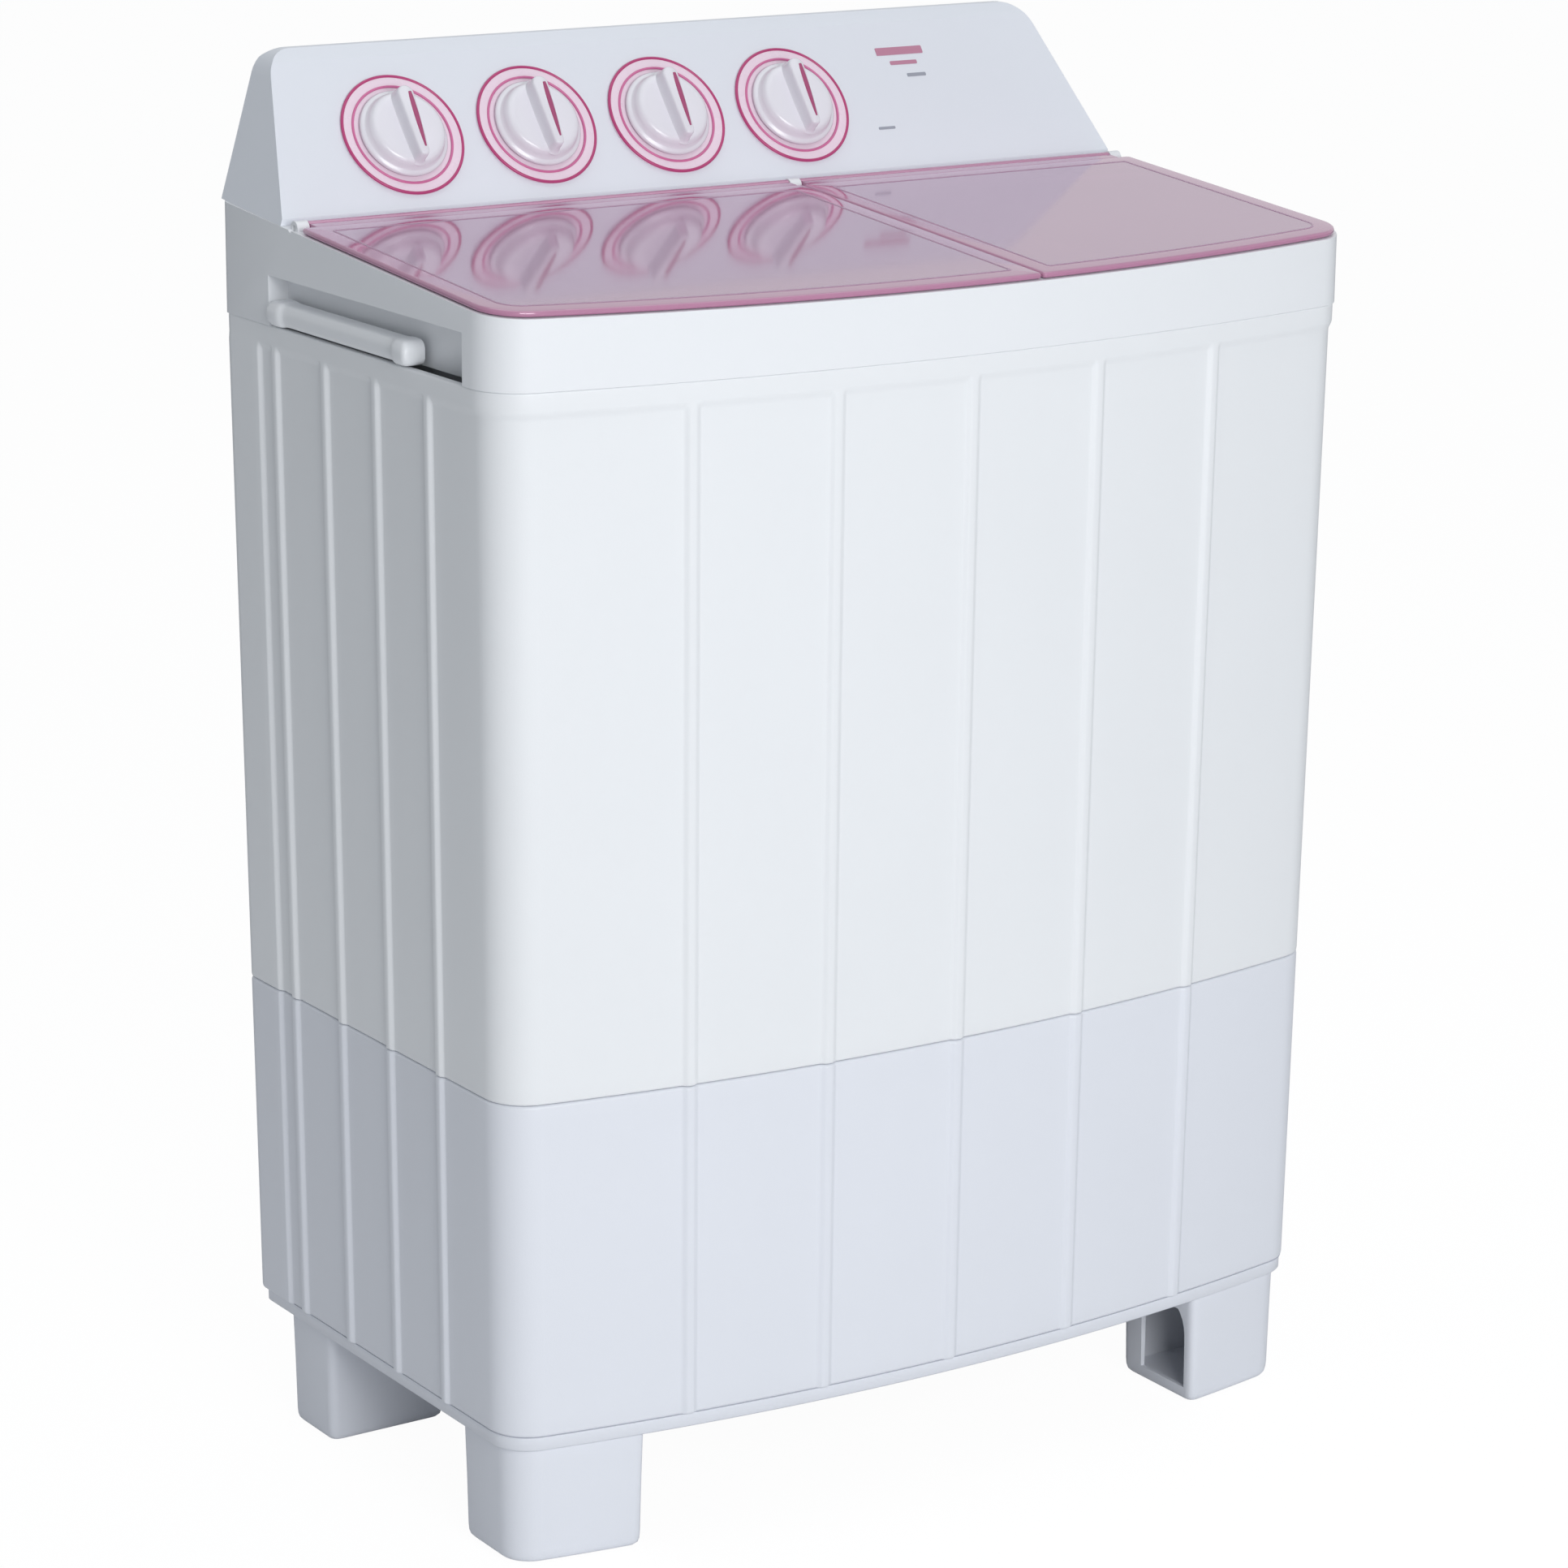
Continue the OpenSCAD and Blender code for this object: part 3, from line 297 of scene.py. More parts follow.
def refined(name, cad, width, finish, segments=2, angle=28.0):
    """A soft-edged copy of a CAD node: flat regions rebuilt as whole faces, then bevelled."""
    source = frame["nodes"][cad]
    mesh = bpy.data.meshes.new(name)
    bm = bmesh.new()
    bm.from_mesh(source.data)
    bmesh.ops.remove_doubles(bm, verts=bm.verts, dist=2e-6)
    if width > 0:
        bmesh.ops.dissolve_limit(bm, angle_limit=math.radians(0.4), verts=bm.verts, edges=bm.edges)
    bm.to_mesh(mesh)
    bm.free()
    made = dress(name, mesh, BODY_OF[cad], finish, sharp=angle)
    if width > 0:
        soft = made.modifiers.new("soft_edges", "BEVEL")
        soft.width = width
        soft.segments = segments
        soft.limit_method = "ANGLE"
        soft.angle_limit = math.radians(angle)
        soft.use_clamp_overlap = True
        soft.harden_normals = False
        soft.miter_outer = "MITER_ARC"
    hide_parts(cad)
    return made


# ---------------------------------------------------------------- body shells
def smooth(t):
    t = min(1.0, max(0.0, t))
    return t * t * (3 - 2 * t)


def rib_mask(v, centres, from_edge):
    """1 on a rib or beyond from_edge (a signed distance past the plain edge), 0 on a panel."""
    inside = max([RIB_HALF - abs(v - c) for c in centres] + [from_edge])
    return smooth(0.5 + inside / (2 * RIB_SOFT))


def station_values(low, high, centres, edges, step):
    """Places along a wall: evenly spread, crowded where a rib starts or ends."""
    spots = list(np.arange(low, high, step))[1:]
    crowd = [-2.6, -1.9, -1.2, -0.6, 0, 0.6, 1.2, 1.9, 2.6]
    for c in centres:
        for side in (-1, 1):
            spots += [c + side * RIB_HALF + k * MM for k in crowd]
    for e in edges:
        spots += [e + k * MM for k in crowd]
    spots = sorted(s for s in spots if low + 0.5 * MM < s < high - 0.5 * MM)
    kept = [spots[0]]
    for s in spots[1:]:
        if s - kept[-1] > 0.35 * MM:
            kept.append(s)
    return kept


SIDE_SPOTS = station_values(CORNER_Y, HALF_D - BACK_R, SIDE_RIBS, [COLUMN_Y], 14 * MM)
FRONT_SPOTS = station_values(0, CORNER_X, [x for x in FRONT_RIBS if x >= 0], [], 14 * MM)


def half_outline(t, recess_t, fillet):
    """Right half of the body plan moved in by t: (x, y, normal x, normal y, rib mask)."""
    out = []
    wall_y = RECESS_Y - recess_t
    wall_x = RECESS_W + recess_t
    top_y = HALF_D - t
    for k in range(1, 12):
        out.append((k / 12 * (wall_x - fillet), wall_y, 0, 1, 1))
    for k in range(5):
        a = math.radians(-90 + 22.5 * k)
        out.append((wall_x - fillet + fillet * math.cos(a), wall_y + fillet + fillet * math.sin(a),
                    -math.cos(a), -math.sin(a), 1))
    for k in range(5):
        a = math.radians(180 - 22.5 * k)
        out.append((wall_x + fillet + fillet * math.cos(a), top_y - fillet + fillet * math.sin(a),
                    math.cos(a), math.sin(a), 1))
    for k in range(7):
        a = math.radians(90 - 15 * k)
        r = BACK_R - t
        out.append((HALF_W - BACK_R + r * math.cos(a), HALF_D - BACK_R + r * math.sin(a),
                    math.cos(a), math.sin(a), 1))
    for y in reversed(SIDE_SPOTS):
        out.append((HALF_W - t, y, 1, 0, rib_mask(y, SIDE_RIBS, y - COLUMN_Y)))
    for k in range(13):
        a = -CORNER_A * k / 12
        r = FRONT_R - t
        out.append((CORNER_X + r * math.cos(a), CORNER_Y + r * math.sin(a), math.cos(a), math.sin(a), 0))
    for x in reversed(FRONT_SPOTS):
        a = -math.acos(x / BOW_R)
        if a < -CORNER_A - 0.0004:
            r = BOW_R - t
            out.append((r * math.cos(a), BOW_Y + r * math.sin(a), math.cos(a), math.sin(a),
                        rib_mask(x, FRONT_RIBS, -1)))
    return out


def whole_outline(t, recess_t, fillet):
    half = half_outline(t, recess_t, fillet)
    front = (0, BOW_Y - BOW_R + t, 0, -1, 1)
    back = (0, RECESS_Y - recess_t, 0, 1, 1)
    mirrored = [(-x, y, -nx, ny, m) for x, y, nx, ny, m in reversed(half)]
    return [back] + half + [front] + mirrored


OUTER = whole_outline(0, 0, RECESS_R)
INNER = whole_outline(RIB_H + WALL, WALL, RECESS_R / 2)


def shell_loop(z, ribs, extra, outline=None):
    """One loop of the outer skin at height z: ribs 0..1 is how far the panels are set back."""
    kx, ky = lean_scale(z)
    loop = []
    for x, y, nx, ny, m in (outline or OUTER):
        on_recess_wall = abs(y - RECESS_Y) < 4 * MM and abs(x) < RECESS_W + 2 * MM
        at_recess_corner = abs(abs(x) - RECESS_W) < 5 * MM and y > RECESS_Y - 5 * MM
        inset = RIB_H * (1 - m) * ribs + extra
        if on_recess_wall or at_recess_corner:
            inset = min(extra, FIT_GAP)
        loop.append(((x - nx * inset) * kx, (y - ny * inset) * ky, z))
    return loop


def edge_levels(z, direction, radius, ribs, extra=0.0, steps=4):
    """Loops that roll an edge of the skin inwards at height z, from the wall to the lip."""
    levels = []
    for k in range(steps + 1):
        a = math.pi / 2 * k / steps
        levels.append((z + direction * radius * (1 - math.sin(a)), ribs, extra + radius * (1 - math.cos(a))))
    return levels


def spread(z0, z1, ribs, extra, count):
    return [(z0 + (z1 - z0) * k / count, ribs, extra) for k in range(count + 1)]


def rib_tops(z, extra):
    """Loops over which the panels come forward to meet the plain band under the rim."""
    return [(z - 5 * MM, 1.0, 0), (z - 3.4 * MM, 0.9, 0.05 * MM), (z - 1.8 * MM, 0.55, 0.15 * MM),
            (z, 0.16, 0.3 * MM), (z + 1.2 * MM, 0.02, extra), (z + 2 * MM, 0, extra)]


def cut_with(target, cutters):
    """Takes closed cutter meshes out of a piece and drops them."""
    for cutter in cutters:
        cut = target.modifiers.new("opening", "BOOLEAN")
        cut.operation = "DIFFERENCE"
        cut.solver = "EXACT"
        cut.object = cutter
    bpy.context.view_layer.update()
    done = bpy.data.meshes.new_from_object(target.evaluated_get(bpy.context.evaluated_depsgraph_get()))
    target.modifiers.clear()
    old = target.data
    target.data = done
    bpy.data.meshes.remove(old)
    for cutter in cutters:
        bpy.data.objects.remove(cutter)


def cutter_prism(points, axis, low, high):
    """A closed prism over 2D points, drawn across the given axis (0 x, 1 y, 2 z)."""
    def place(p, t):
        spot = list(p)
        spot.insert(axis, t)
        return tuple(spot)
    verts, faces = rings([[place(p, low) for p in points], [place(p, high) for p in points]])
    mesh = bpy.data.meshes.new("cutter")
    mesh.from_pydata(verts, [], faces)
    bm = bmesh.new()
    bm.from_mesh(mesh)
    bmesh.ops.recalc_face_normals(bm, faces=bm.faces)
    bm.to_mesh(mesh)
    bm.free()
    made = bpy.data.objects.new("cutter", mesh)
    scene.collection.objects.link(made)
    return made


def circle_points(cx, cy, r, count=32):
    return [(cx + r * math.cos(2 * math.pi * k / count), cy + r * math.sin(2 * math.pi * k / count))
            for k in range(count)]


def round_rect_points(x0, y0, x1, y1, r, steps=6):
    out = []
    corners = ((x1 - r, y1 - r, 0), (x0 + r, y1 - r, 90), (x0 + r, y0 + r, 180), (x1 - r, y0 + r, 270))
    for cx, cy, a0 in corners:
        for k in range(steps + 1):
            a = math.radians(a0 + 90 * k / steps)
            out.append((cx + r * math.cos(a), cy + r * math.sin(a)))
    return out


# cabinet: ribbed skin from the parting line up to the rim
BAND_Z = RIM_Z - 14 * MM
CAB_FOOT_Z = SEAM_Z + SEAM_GAP
CAB_TOP_Z = RIM_Z - 0.1 * MM
outer = (list(reversed(edge_levels(CAB_FOOT_Z, 1, SEAM_R, 1.0)))
         + spread(SEAM_Z + 12 * MM, BAND_Z - 20 * MM, 1.0, 0, 6)
         + rib_tops(BAND_Z, FIT_GAP)
         + [(RIM_Z - 8 * MM, 0, FIT_GAP)]
         + edge_levels(CAB_TOP_Z, -1, 1.6 * MM, 0, FIT_GAP))
loops = [shell_loop(z, r, e) for z, r, e in outer]
loops += [shell_loop(z, 0, 0, INNER) for z in (CAB_TOP_Z, CAB_FOOT_Z)]
cabinet = piece_from("cabinet_shell", *rings(loops, closed=True), "machine",
                     MATERIALS["cabinet_plastic"], "cabinet_plastic", SHELL_ANGLE)
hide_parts("cabinet")


# base: the same ribs down to a rolled skirt, a lip set back under it and a floor with an opening
def floor_loop(z):
    """The opening in the floor, met along the same directions as the skin's loops."""
    loop = []
    for x, y, *_ in OUTER:
        length = math.hypot(x, y)
        dx, dy = x / length, y / length
        reach = 0
        for half, low, high in (FLOOR_WIDE, FLOOR_DEEP):
            tx = half / abs(dx) if abs(dx) > TINY else FAR
            ty = (high / dy if dy > 0 else low / dy) if abs(dy) > TINY else FAR
            reach = max(reach, min(tx, ty))
        loop.append((dx * reach, dy * reach, z))
    return loop


BASE_TOP_Z = SEAM_Z - SEAM_GAP
outer = ([(LIP_Z + 1.2 * MM, 0, 4 * MM), (SKIRT_Z - 0.6 * MM, 0, 4 * MM), (SKIRT_Z, 0, 3 * MM)]
         + list(reversed(edge_levels(SKIRT_Z, 1, SKIRT_R, 1.0)))
         + spread(SKIRT_Z + 12 * MM, SEAM_Z - 12 * MM, 1.0, 0, 4)
         + edge_levels(BASE_TOP_Z, -1, SEAM_R, 1.0))
loops = [floor_loop(FLOOR_Z), floor_loop(LIP_Z), shell_loop(LIP_Z, 0, 5.2 * MM)]
loops += [shell_loop(z, r, e) for z, r, e in outer]
loops += [shell_loop(z, 0, 0, INNER) for z in (BASE_TOP_Z, FLOOR_Z)]
body_mesh = rings(loops, closed=True)


def fillet_corner(p, a, b, r, steps=4):
    """Points of a fillet of radius r at corner p between directions to a and b."""
    p, a, b = Vector(p), Vector(a), Vector(b)
    da, db = (a - p).normalized(), (b - p).normalized()
    start, end = p + da * r, p + db * r
    out = []
    for k in range(steps + 1):
        t = k / steps
        out.append(tuple(start * (1 - t) ** 2 + p * 2 * t * (1 - t) + end * t ** 2))
    return out


def leg_plan(side, front, t):
    """Plan of one leg moved in by t, anticlockwise seen from above on the right side."""
    r = LEG_CORNER_R
    ahead = 20 * MM
    inner_x = LEG_INNER_X + t
    outer_x = HALF_W - LEG_INSET - t
    if front:
        back_y = FRONT_LEG_Y - t
        arc_r = FRONT_R - LEG_INSET - t
        bow = BOW_R - LEG_INSET - t

        def bow_at(x):
            return BOW_Y - math.sqrt(bow * bow - x * x)

        pts = fillet_corner((outer_x, back_y), (outer_x, back_y - ahead), (inner_x, back_y), r)
        pts += fillet_corner((inner_x, back_y), (outer_x, back_y), (inner_x, back_y - ahead), r)
        pts += fillet_corner((inner_x, bow_at(inner_x)), (inner_x, back_y),
                             (inner_x + ahead, bow_at(inner_x + ahead)), r)
        for k in range(1, 6):
            x = inner_x + r + (CORNER_X - 4 * MM - inner_x - r) * k / 6
            pts.append((x, bow_at(x)))
        for k in range(9):
            a = -CORNER_A + CORNER_A * k / 8
            pts.append((CORNER_X + arc_r * math.cos(a), CORNER_Y + arc_r * math.sin(a)))
    else:
        y0, y1 = REAR_LEG_Y[0] + t, REAR_LEG_Y[1] - t
        pts = fillet_corner((outer_x, y1), (outer_x, y0), (inner_x, y1), r)
        pts += fillet_corner((inner_x, y1), (outer_x, y1), (inner_x, y0), r)
        pts += fillet_corner((inner_x, y0), (inner_x, y1), (outer_x, y0), r)
        pts += fillet_corner((outer_x, y0), (inner_x, y0), (outer_x, y1), r)
    return [(side * x, y) for x, y in (pts if side > 0 else reversed(pts))]


def leg_mesh(side, front):
    kx, ky = lean_scale(SKIRT_Z / 2)
    top_z = LIP_Z + 1.5 * MM
    # height, how far the plan is moved in
    levels = [(2 * MM, 5 * MM), (2.6 * MM, 2.6 * MM), (4.2 * MM, 1.1 * MM), (7 * MM, 0.3 * MM), (11 * MM, 0),
              (48 * MM, -0.6 * MM), (LIP_Z - 1 * MM, -1.4 * MM), (top_z, -1.4 * MM)]
    levels += [(top_z, LEG_WALL), (9 * MM, LEG_WALL)]
    return rings([[(x * kx, y * ky, z) for x, y in leg_plan(side, front, t)] for z, t in levels])


legs = [leg_mesh(side, front) for side in (-1, 1) for front in (True, False)]
base = piece_from("base_shell", *body_mesh, "machine", MATERIALS["base_plastic"], "base_plastic", SHELL_ANGLE)
cover_low, cover_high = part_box("back_cover")
HOSE_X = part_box("drain_hose")[1].x - 12 * MM
CORD_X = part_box("power_cord")[0].x + 4 * MM
COVER_LAP = 15 * MM
back_low, back_high = RECESS_Y - 20 * MM, RECESS_Y + 12 * MM
service_hole = round_rect_points(cover_low.x + COVER_LAP, cover_low.z + COVER_LAP,
                                 cover_high.x - COVER_LAP, cover_high.z - COVER_LAP, 8 * MM)
cut_with(base, [
    cutter_prism(service_hole, 1, back_low, back_high),
    cutter_prism(circle_points(HOSE_X, OUTLET_Z, 12.5 * MM), 1, back_low, back_high),
    cutter_prism(circle_points(CORD_X, OUTLET_Z, 4.6 * MM), 1, back_low, back_high)])
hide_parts("base")
leg_piece = piece_from("base_legs", *join(*legs), "machine", MATERIALS["base_plastic"], "base_plastic",
                       SHELL_ANGLE)


def arch_points(middle, half, low, spring):
    """An arched opening across the inner side of a leg, in depth and height."""
    pts = [(middle - half, low), (middle + half, low)]
    pts += [(middle + half * math.cos(math.pi * k / 14), spring + half * math.sin(math.pi * k / 14))
            for k in range(15)]
    return pts


arches = []
for side in (-1, 1):
    span = sorted((side * 230 * MM, side * 241.6 * MM))
    arches.append(cutter_prism(arch_points(-131 * MM, 25 * MM, 12 * MM, 52 * MM), 0, *span))
    arches.append(cutter_prism(arch_points(135 * MM, 18 * MM, 12 * MM, 56 * MM), 0, *span))
cut_with(leg_piece, arches)

# ---------------------------------------------------------------- top frame, console and cover plates
refined("rim_and_deck", "top_frame", 1.6 * MM, MATERIALS["top_plastic"], 3, 30)
refined("console_hood", "console", 3.0 * MM, MATERIALS["panel_plastic"], 4, 30)

LEAN = math.radians(35)
CONSOLE_Y = con_low.y
CONSOLE_Z = LID_Z + (CONSOLE_Y + HALF_D) * math.tan(LID_SLOPE)
PANEL_NORMAL = Vector((0, -math.cos(LEAN), math.sin(LEAN)))
PANEL_UP = Vector((0, math.sin(LEAN), math.cos(LEAN)))
KNOB_V = 53.7 * MM
KNOBS = ["wash_timer_knob", "wash_mode_knob", "spin_timer_knob", "drain_knob"]
KNOB_X = [(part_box(n)[0].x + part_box(n)[1].x) / 2 for n in KNOBS]


def on_panel(x, v, points):
    """Points of the panel's own frame (right, up the face, out of the face) in the row frame."""
    origin = Vector((x, CONSOLE_Y, CONSOLE_Z)) + PANEL_UP * v
    return [origin + Vector((1, 0, 0)) * p[0] + PANEL_UP * p[1] + PANEL_NORMAL * p[2] for p in points]


def turn(r, h, count):
    """One loop of a turned shape."""
    return [(r * math.cos(2 * math.pi * i / count), r * math.sin(2 * math.pi * i / count), h)
            for i in range(count)]


def lathe(profile, count=96):
    """A closed turned shape from (radius, height) pairs, from the centre underneath to the centre on top."""
    return rings([turn(r, h, count) for r, h in profile])


def lathe_ring(profile, count=96):
    """A closed ring from a closed (radius, height) outline."""
    return rings([turn(r, h, count) for r, h in profile], closed=True)


def panel_piece(name, x, v, shape, body, finish, slot=None, sharp=40.0):
    verts, faces = shape
    return piece_from(name, on_panel(x, v, verts), faces, body, finish, slot, sharp)


def torus_profile(r, tube_r, height, steps=10):
    angles = [2 * math.pi * k / steps for k in range(steps)]
    return [(r + tube_r * math.cos(a), height + tube_r * math.sin(a)) for a in angles]


def grip_mesh(length, wide, narrow, low, high):
    """A handle bar across the dial, tapered to its tip, with rolled edges."""
    def outline(z, inset):
        pts = []
        for k in range(13):
            a = math.pi * k / 12
            r = wide / 2 - inset
            pts.append((r * math.cos(a), length / 2 - wide / 2 + r * math.sin(a), z))
        for k in range(13):
            a = math.pi + math.pi * k / 12
            r = narrow / 2 - inset
            pts.append((r * math.cos(a), -length / 2 + narrow / 2 + r * math.sin(a), z))
        return pts
    steps = [(low, -1.6 * MM), (low + 1.0 * MM, -0.6 * MM), (low + 2.5 * MM, 0), (high - 4 * MM, 0.5 * MM),
             (high - 1.4 * MM, 0.8 * MM), (high - 0.5 * MM, 1.2 * MM), (high, 2.0 * MM)]
    return rings([outline(z, inset) for z, inset in steps])


BEZEL_R = 45 * MM
OUTER_LINE_R = 1.1 * MM
INNER_LINE_R = 0.9 * MM
LINE_HEIGHT = 1.6 * MM
GRIP_LENGTH = 54 * MM
GRIP_WIDE = 13.5 * MM
GRIP_NARROW = 9 * MM
GRIP_LOW = 11 * MM
GRIP_HIGH = 22.8 * MM
KNOB_R = (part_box(KNOBS[0])[1].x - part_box(KNOBS[0])[0].x) / 2
for index, (knob, x) in enumerate(zip(KNOBS, KNOB_X)):
    n = str(index + 1)
    # radius, height
    plate = lathe_ring([(7 * MM, 0.1 * MM), (BEZEL_R - 0.4 * MM, 0.1 * MM), (BEZEL_R, 0.6 * MM),
                        (BEZEL_R - 0.4 * MM, 1.5 * MM), (BEZEL_R - 2 * MM, 1.9 * MM),
                        (BEZEL_R - 7.5 * MM, 1.6 * MM),
                        (BEZEL_R - 9.5 * MM, 1.1 * MM), (7 * MM, 1.1 * MM)])
    dial = panel_piece("bezel_plate_" + n, x, KNOB_V, plate, "machine", DIAL_LILAC, "pink_trim", 60)
    outer_ring = torus_profile(BEZEL_R - OUTER_LINE_R, OUTER_LINE_R, LINE_HEIGHT)
    panel_piece("bezel_outer_ring_" + n, x, KNOB_V, lathe_ring(outer_ring), "machine", PINK_LINE, "pink_trim")
    inner_ring = torus_profile(KNOB_R + 4.2 * MM, INNER_LINE_R, LINE_HEIGHT)
    panel_piece("bezel_inner_ring_" + n, x, KNOB_V, lathe_ring(inner_ring), "machine", PINK_SOFT, "pink_trim")
    if index == 0:
        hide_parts("knob_bezels")
    skirt = [(0, 1.9 * MM), (KNOB_R - 1.2 * MM, 1.9 * MM), (KNOB_R - 0.1 * MM, 2.6 * MM), (KNOB_R, 3.6 * MM),
             (KNOB_R - 0.8 * MM, 4.7 * MM), (KNOB_R - 2.4 * MM, 5.2 * MM), (KNOB_R - 3.2 * MM, 5.8 * MM),
             (KNOB_R - 4.2 * MM, 8.6 * MM), (KNOB_R - 5.4 * MM, 11.4 * MM), (KNOB_R - 7.0 * MM, 12.7 * MM),
             (KNOB_R - 9.5 * MM, 13.0 * MM), (KNOB_R - 14 * MM, 12.6 * MM), (0.5 * MM, 12.2 * MM),
             (0, 12.2 * MM)]
    skirt = [(max(r, 0.02 * MM), h) for r, h in skirt]
    disc = panel_piece("knob_dial_" + n, x, KNOB_V, lathe(skirt), knob,
                       MATERIALS["knob_plastic"], "knob_plastic", SHELL_ANGLE)
    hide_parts(knob)
    grip = grip_mesh(GRIP_LENGTH, GRIP_WIDE, GRIP_NARROW, GRIP_LOW, GRIP_HIGH)
    panel_piece("knob_grip_" + n, x, KNOB_V, grip, knob, MATERIALS["knob_plastic"], "knob_plastic", 60)
    # a dark pink stripe along the right of each grip's top: painted shade standing in for the shade on the
    # grip's side away from the light
    loops = []
    for k in range(13):
        along = 21 - 41 * k / 12
        middle = 2.7 - 1.2 * k / 12
        half = (2.5 - 1.0 * k / 12) * math.sin(math.pi * (k + 0.6) / 13.2) ** 0.35
        loops.append([((middle + half * math.cos(a)) * MM, along * MM, (22.6 + 0.6 * math.sin(a)) * MM)
                      for a in (2 * math.pi * i / 12 for i in range(12))])
    panel_piece("grip_shade_stripe_" + n, x, KNOB_V, rings(loops), knob, GRIP_SHADE_PAINT, "pink_trim")


# printed marks on the panel: plain bars in place of lettering
def bar_mesh(x0, y0, x1, y1, height=0.35 * MM, r=0.6 * MM):
    low = -0.2 * MM
    pts = round_rect_points(x0, y0, x1, y1, min(r, (x1 - x0) / 2.1, (y1 - y0) / 2.1), 3)
    return rings([[(x, y, low) for x, y in pts], [(x, y, height) for x, y in pts]])


bars = [(60, 34, 100, 40), (69, 26, 92, 29)]
panel_piece("panel_mark_pink", 0.108, KNOB_V, join(*[bar_mesh(*[c * MM for c in b]) for b in bars]),
            "machine", MARK_PINK, "panel_plastic")
panel_piece("panel_mark_grey", 0.108, KNOB_V, join(bar_mesh(80 * MM, 16 * MM, 96 * MM, 18.6 * MM),
                                                   bar_mesh(40 * MM, -24 * MM, 54 * MM, -22 * MM)),
            "machine", MARK_GREY, "panel_plastic")


# ---------------------------------------------------------------- lids
HINGE_Y = 98 * MM
HINGE_Z = LID_Z + (HINGE_Y + HALF_D) * math.tan(LID_SLOPE) - 3.5 * MM
HINGE_V = (HINGE_Y + HALF_D) * math.cos(LID_SLOPE) + (HINGE_Z - LID_Z) * math.sin(LID_SLOPE)
LID_END = HINGE_V - 3.2 * MM
BARREL_R = 4.5 * MM
LID_T = 4 * MM
SPLIT_X = 54 * MM


def on_lid(x, v, w):
    """A point of the lids' plane: v back from the front crown, w above the top face."""
    c, s = math.cos(LID_SLOPE), math.sin(LID_SLOPE)
    return (x, -HALF_D + v * c - w * s, LID_Z + v * s + w * c)


def lid_front(x, t):
    """How far back the lid's front edge lies at x, moved in by t."""
    edge = HALF_W - 2 * MM - t
    if abs(x) > CORNER_X:
        r = FRONT_R - 2 * MM - t
        d = min(abs(x) - CORNER_X, max(r, 0.0))
        return CORNER_Y + HALF_D - math.sqrt(max(r * r - d * d, 0.0)) if r > 0 else CORNER_Y + HALF_D + t
    r = BOW_R - 2 * MM - t
    return BOW_Y + HALF_D - math.sqrt(r * r - x * x)


def lid_outline(x0, x1, t):
    """The lid's edge in its own plane, moved in by t, from the back left corner round by the front."""
    left_corner, right_corner = x0 < -CORNER_X, x1 > CORNER_X
    end = LID_END - 9 * MM - t
    a, b = x0 + t, x1 - t
    pts = [(a + 2 * MM, end), (a + 0.6 * MM, end - 0.6 * MM), (a, end - 2 * MM)]
    start = CORNER_Y + HALF_D if left_corner else lid_front(a, t) + 2 * MM
    pts += [(a, end + (start - end) * k / 10) for k in range(1, 11)]
    if left_corner:
        r = max(FRONT_R - 2 * MM - t, 3 * MM)
        cx, cy = a + r, CORNER_Y + HALF_D + (t - FRONT_R + 2 * MM + r if r == 3 * MM else 0)
        pts += [(cx + r * math.cos(g), cy + r * math.sin(g))
                for g in (math.pi + CORNER_A * k / 12 for k in range(1, 13))]
        run_from = -CORNER_X + 4 * MM + max(0, t - 20 * MM)
    else:
        pts += [(a + 0.6 * MM, lid_front(a, t) + 0.6 * MM)]
        run_from = a + 2 * MM
    run_to = CORNER_X - 4 * MM - max(0, t - 20 * MM) if right_corner else b - 2 * MM
    for k in range(29):
        x = run_from + (run_to - run_from) * k / 28
        pts.append((x, lid_front(x, t)))
    if right_corner:
        r = max(FRONT_R - 2 * MM - t, 3 * MM)
        cx, cy = b - r, CORNER_Y + HALF_D + (t - FRONT_R + 2 * MM + r if r == 3 * MM else 0)
        pts += [(cx + r * math.cos(g), cy + r * math.sin(g))
                for g in (-CORNER_A + CORNER_A * k / 12 for k in range(0, 12))]
    else:
        pts += [(b - 0.6 * MM, lid_front(b, t) + 0.6 * MM)]
    start = CORNER_Y + HALF_D if right_corner else lid_front(b, t) + 2 * MM
    pts += [(b, start + (end - start) * k / 10) for k in range(0, 10)]
    pts += [(b, end - 2 * MM), (b - 0.6 * MM, end - 0.6 * MM), (b - 2 * MM, end)]
    return pts


BORDER = 15 * MM


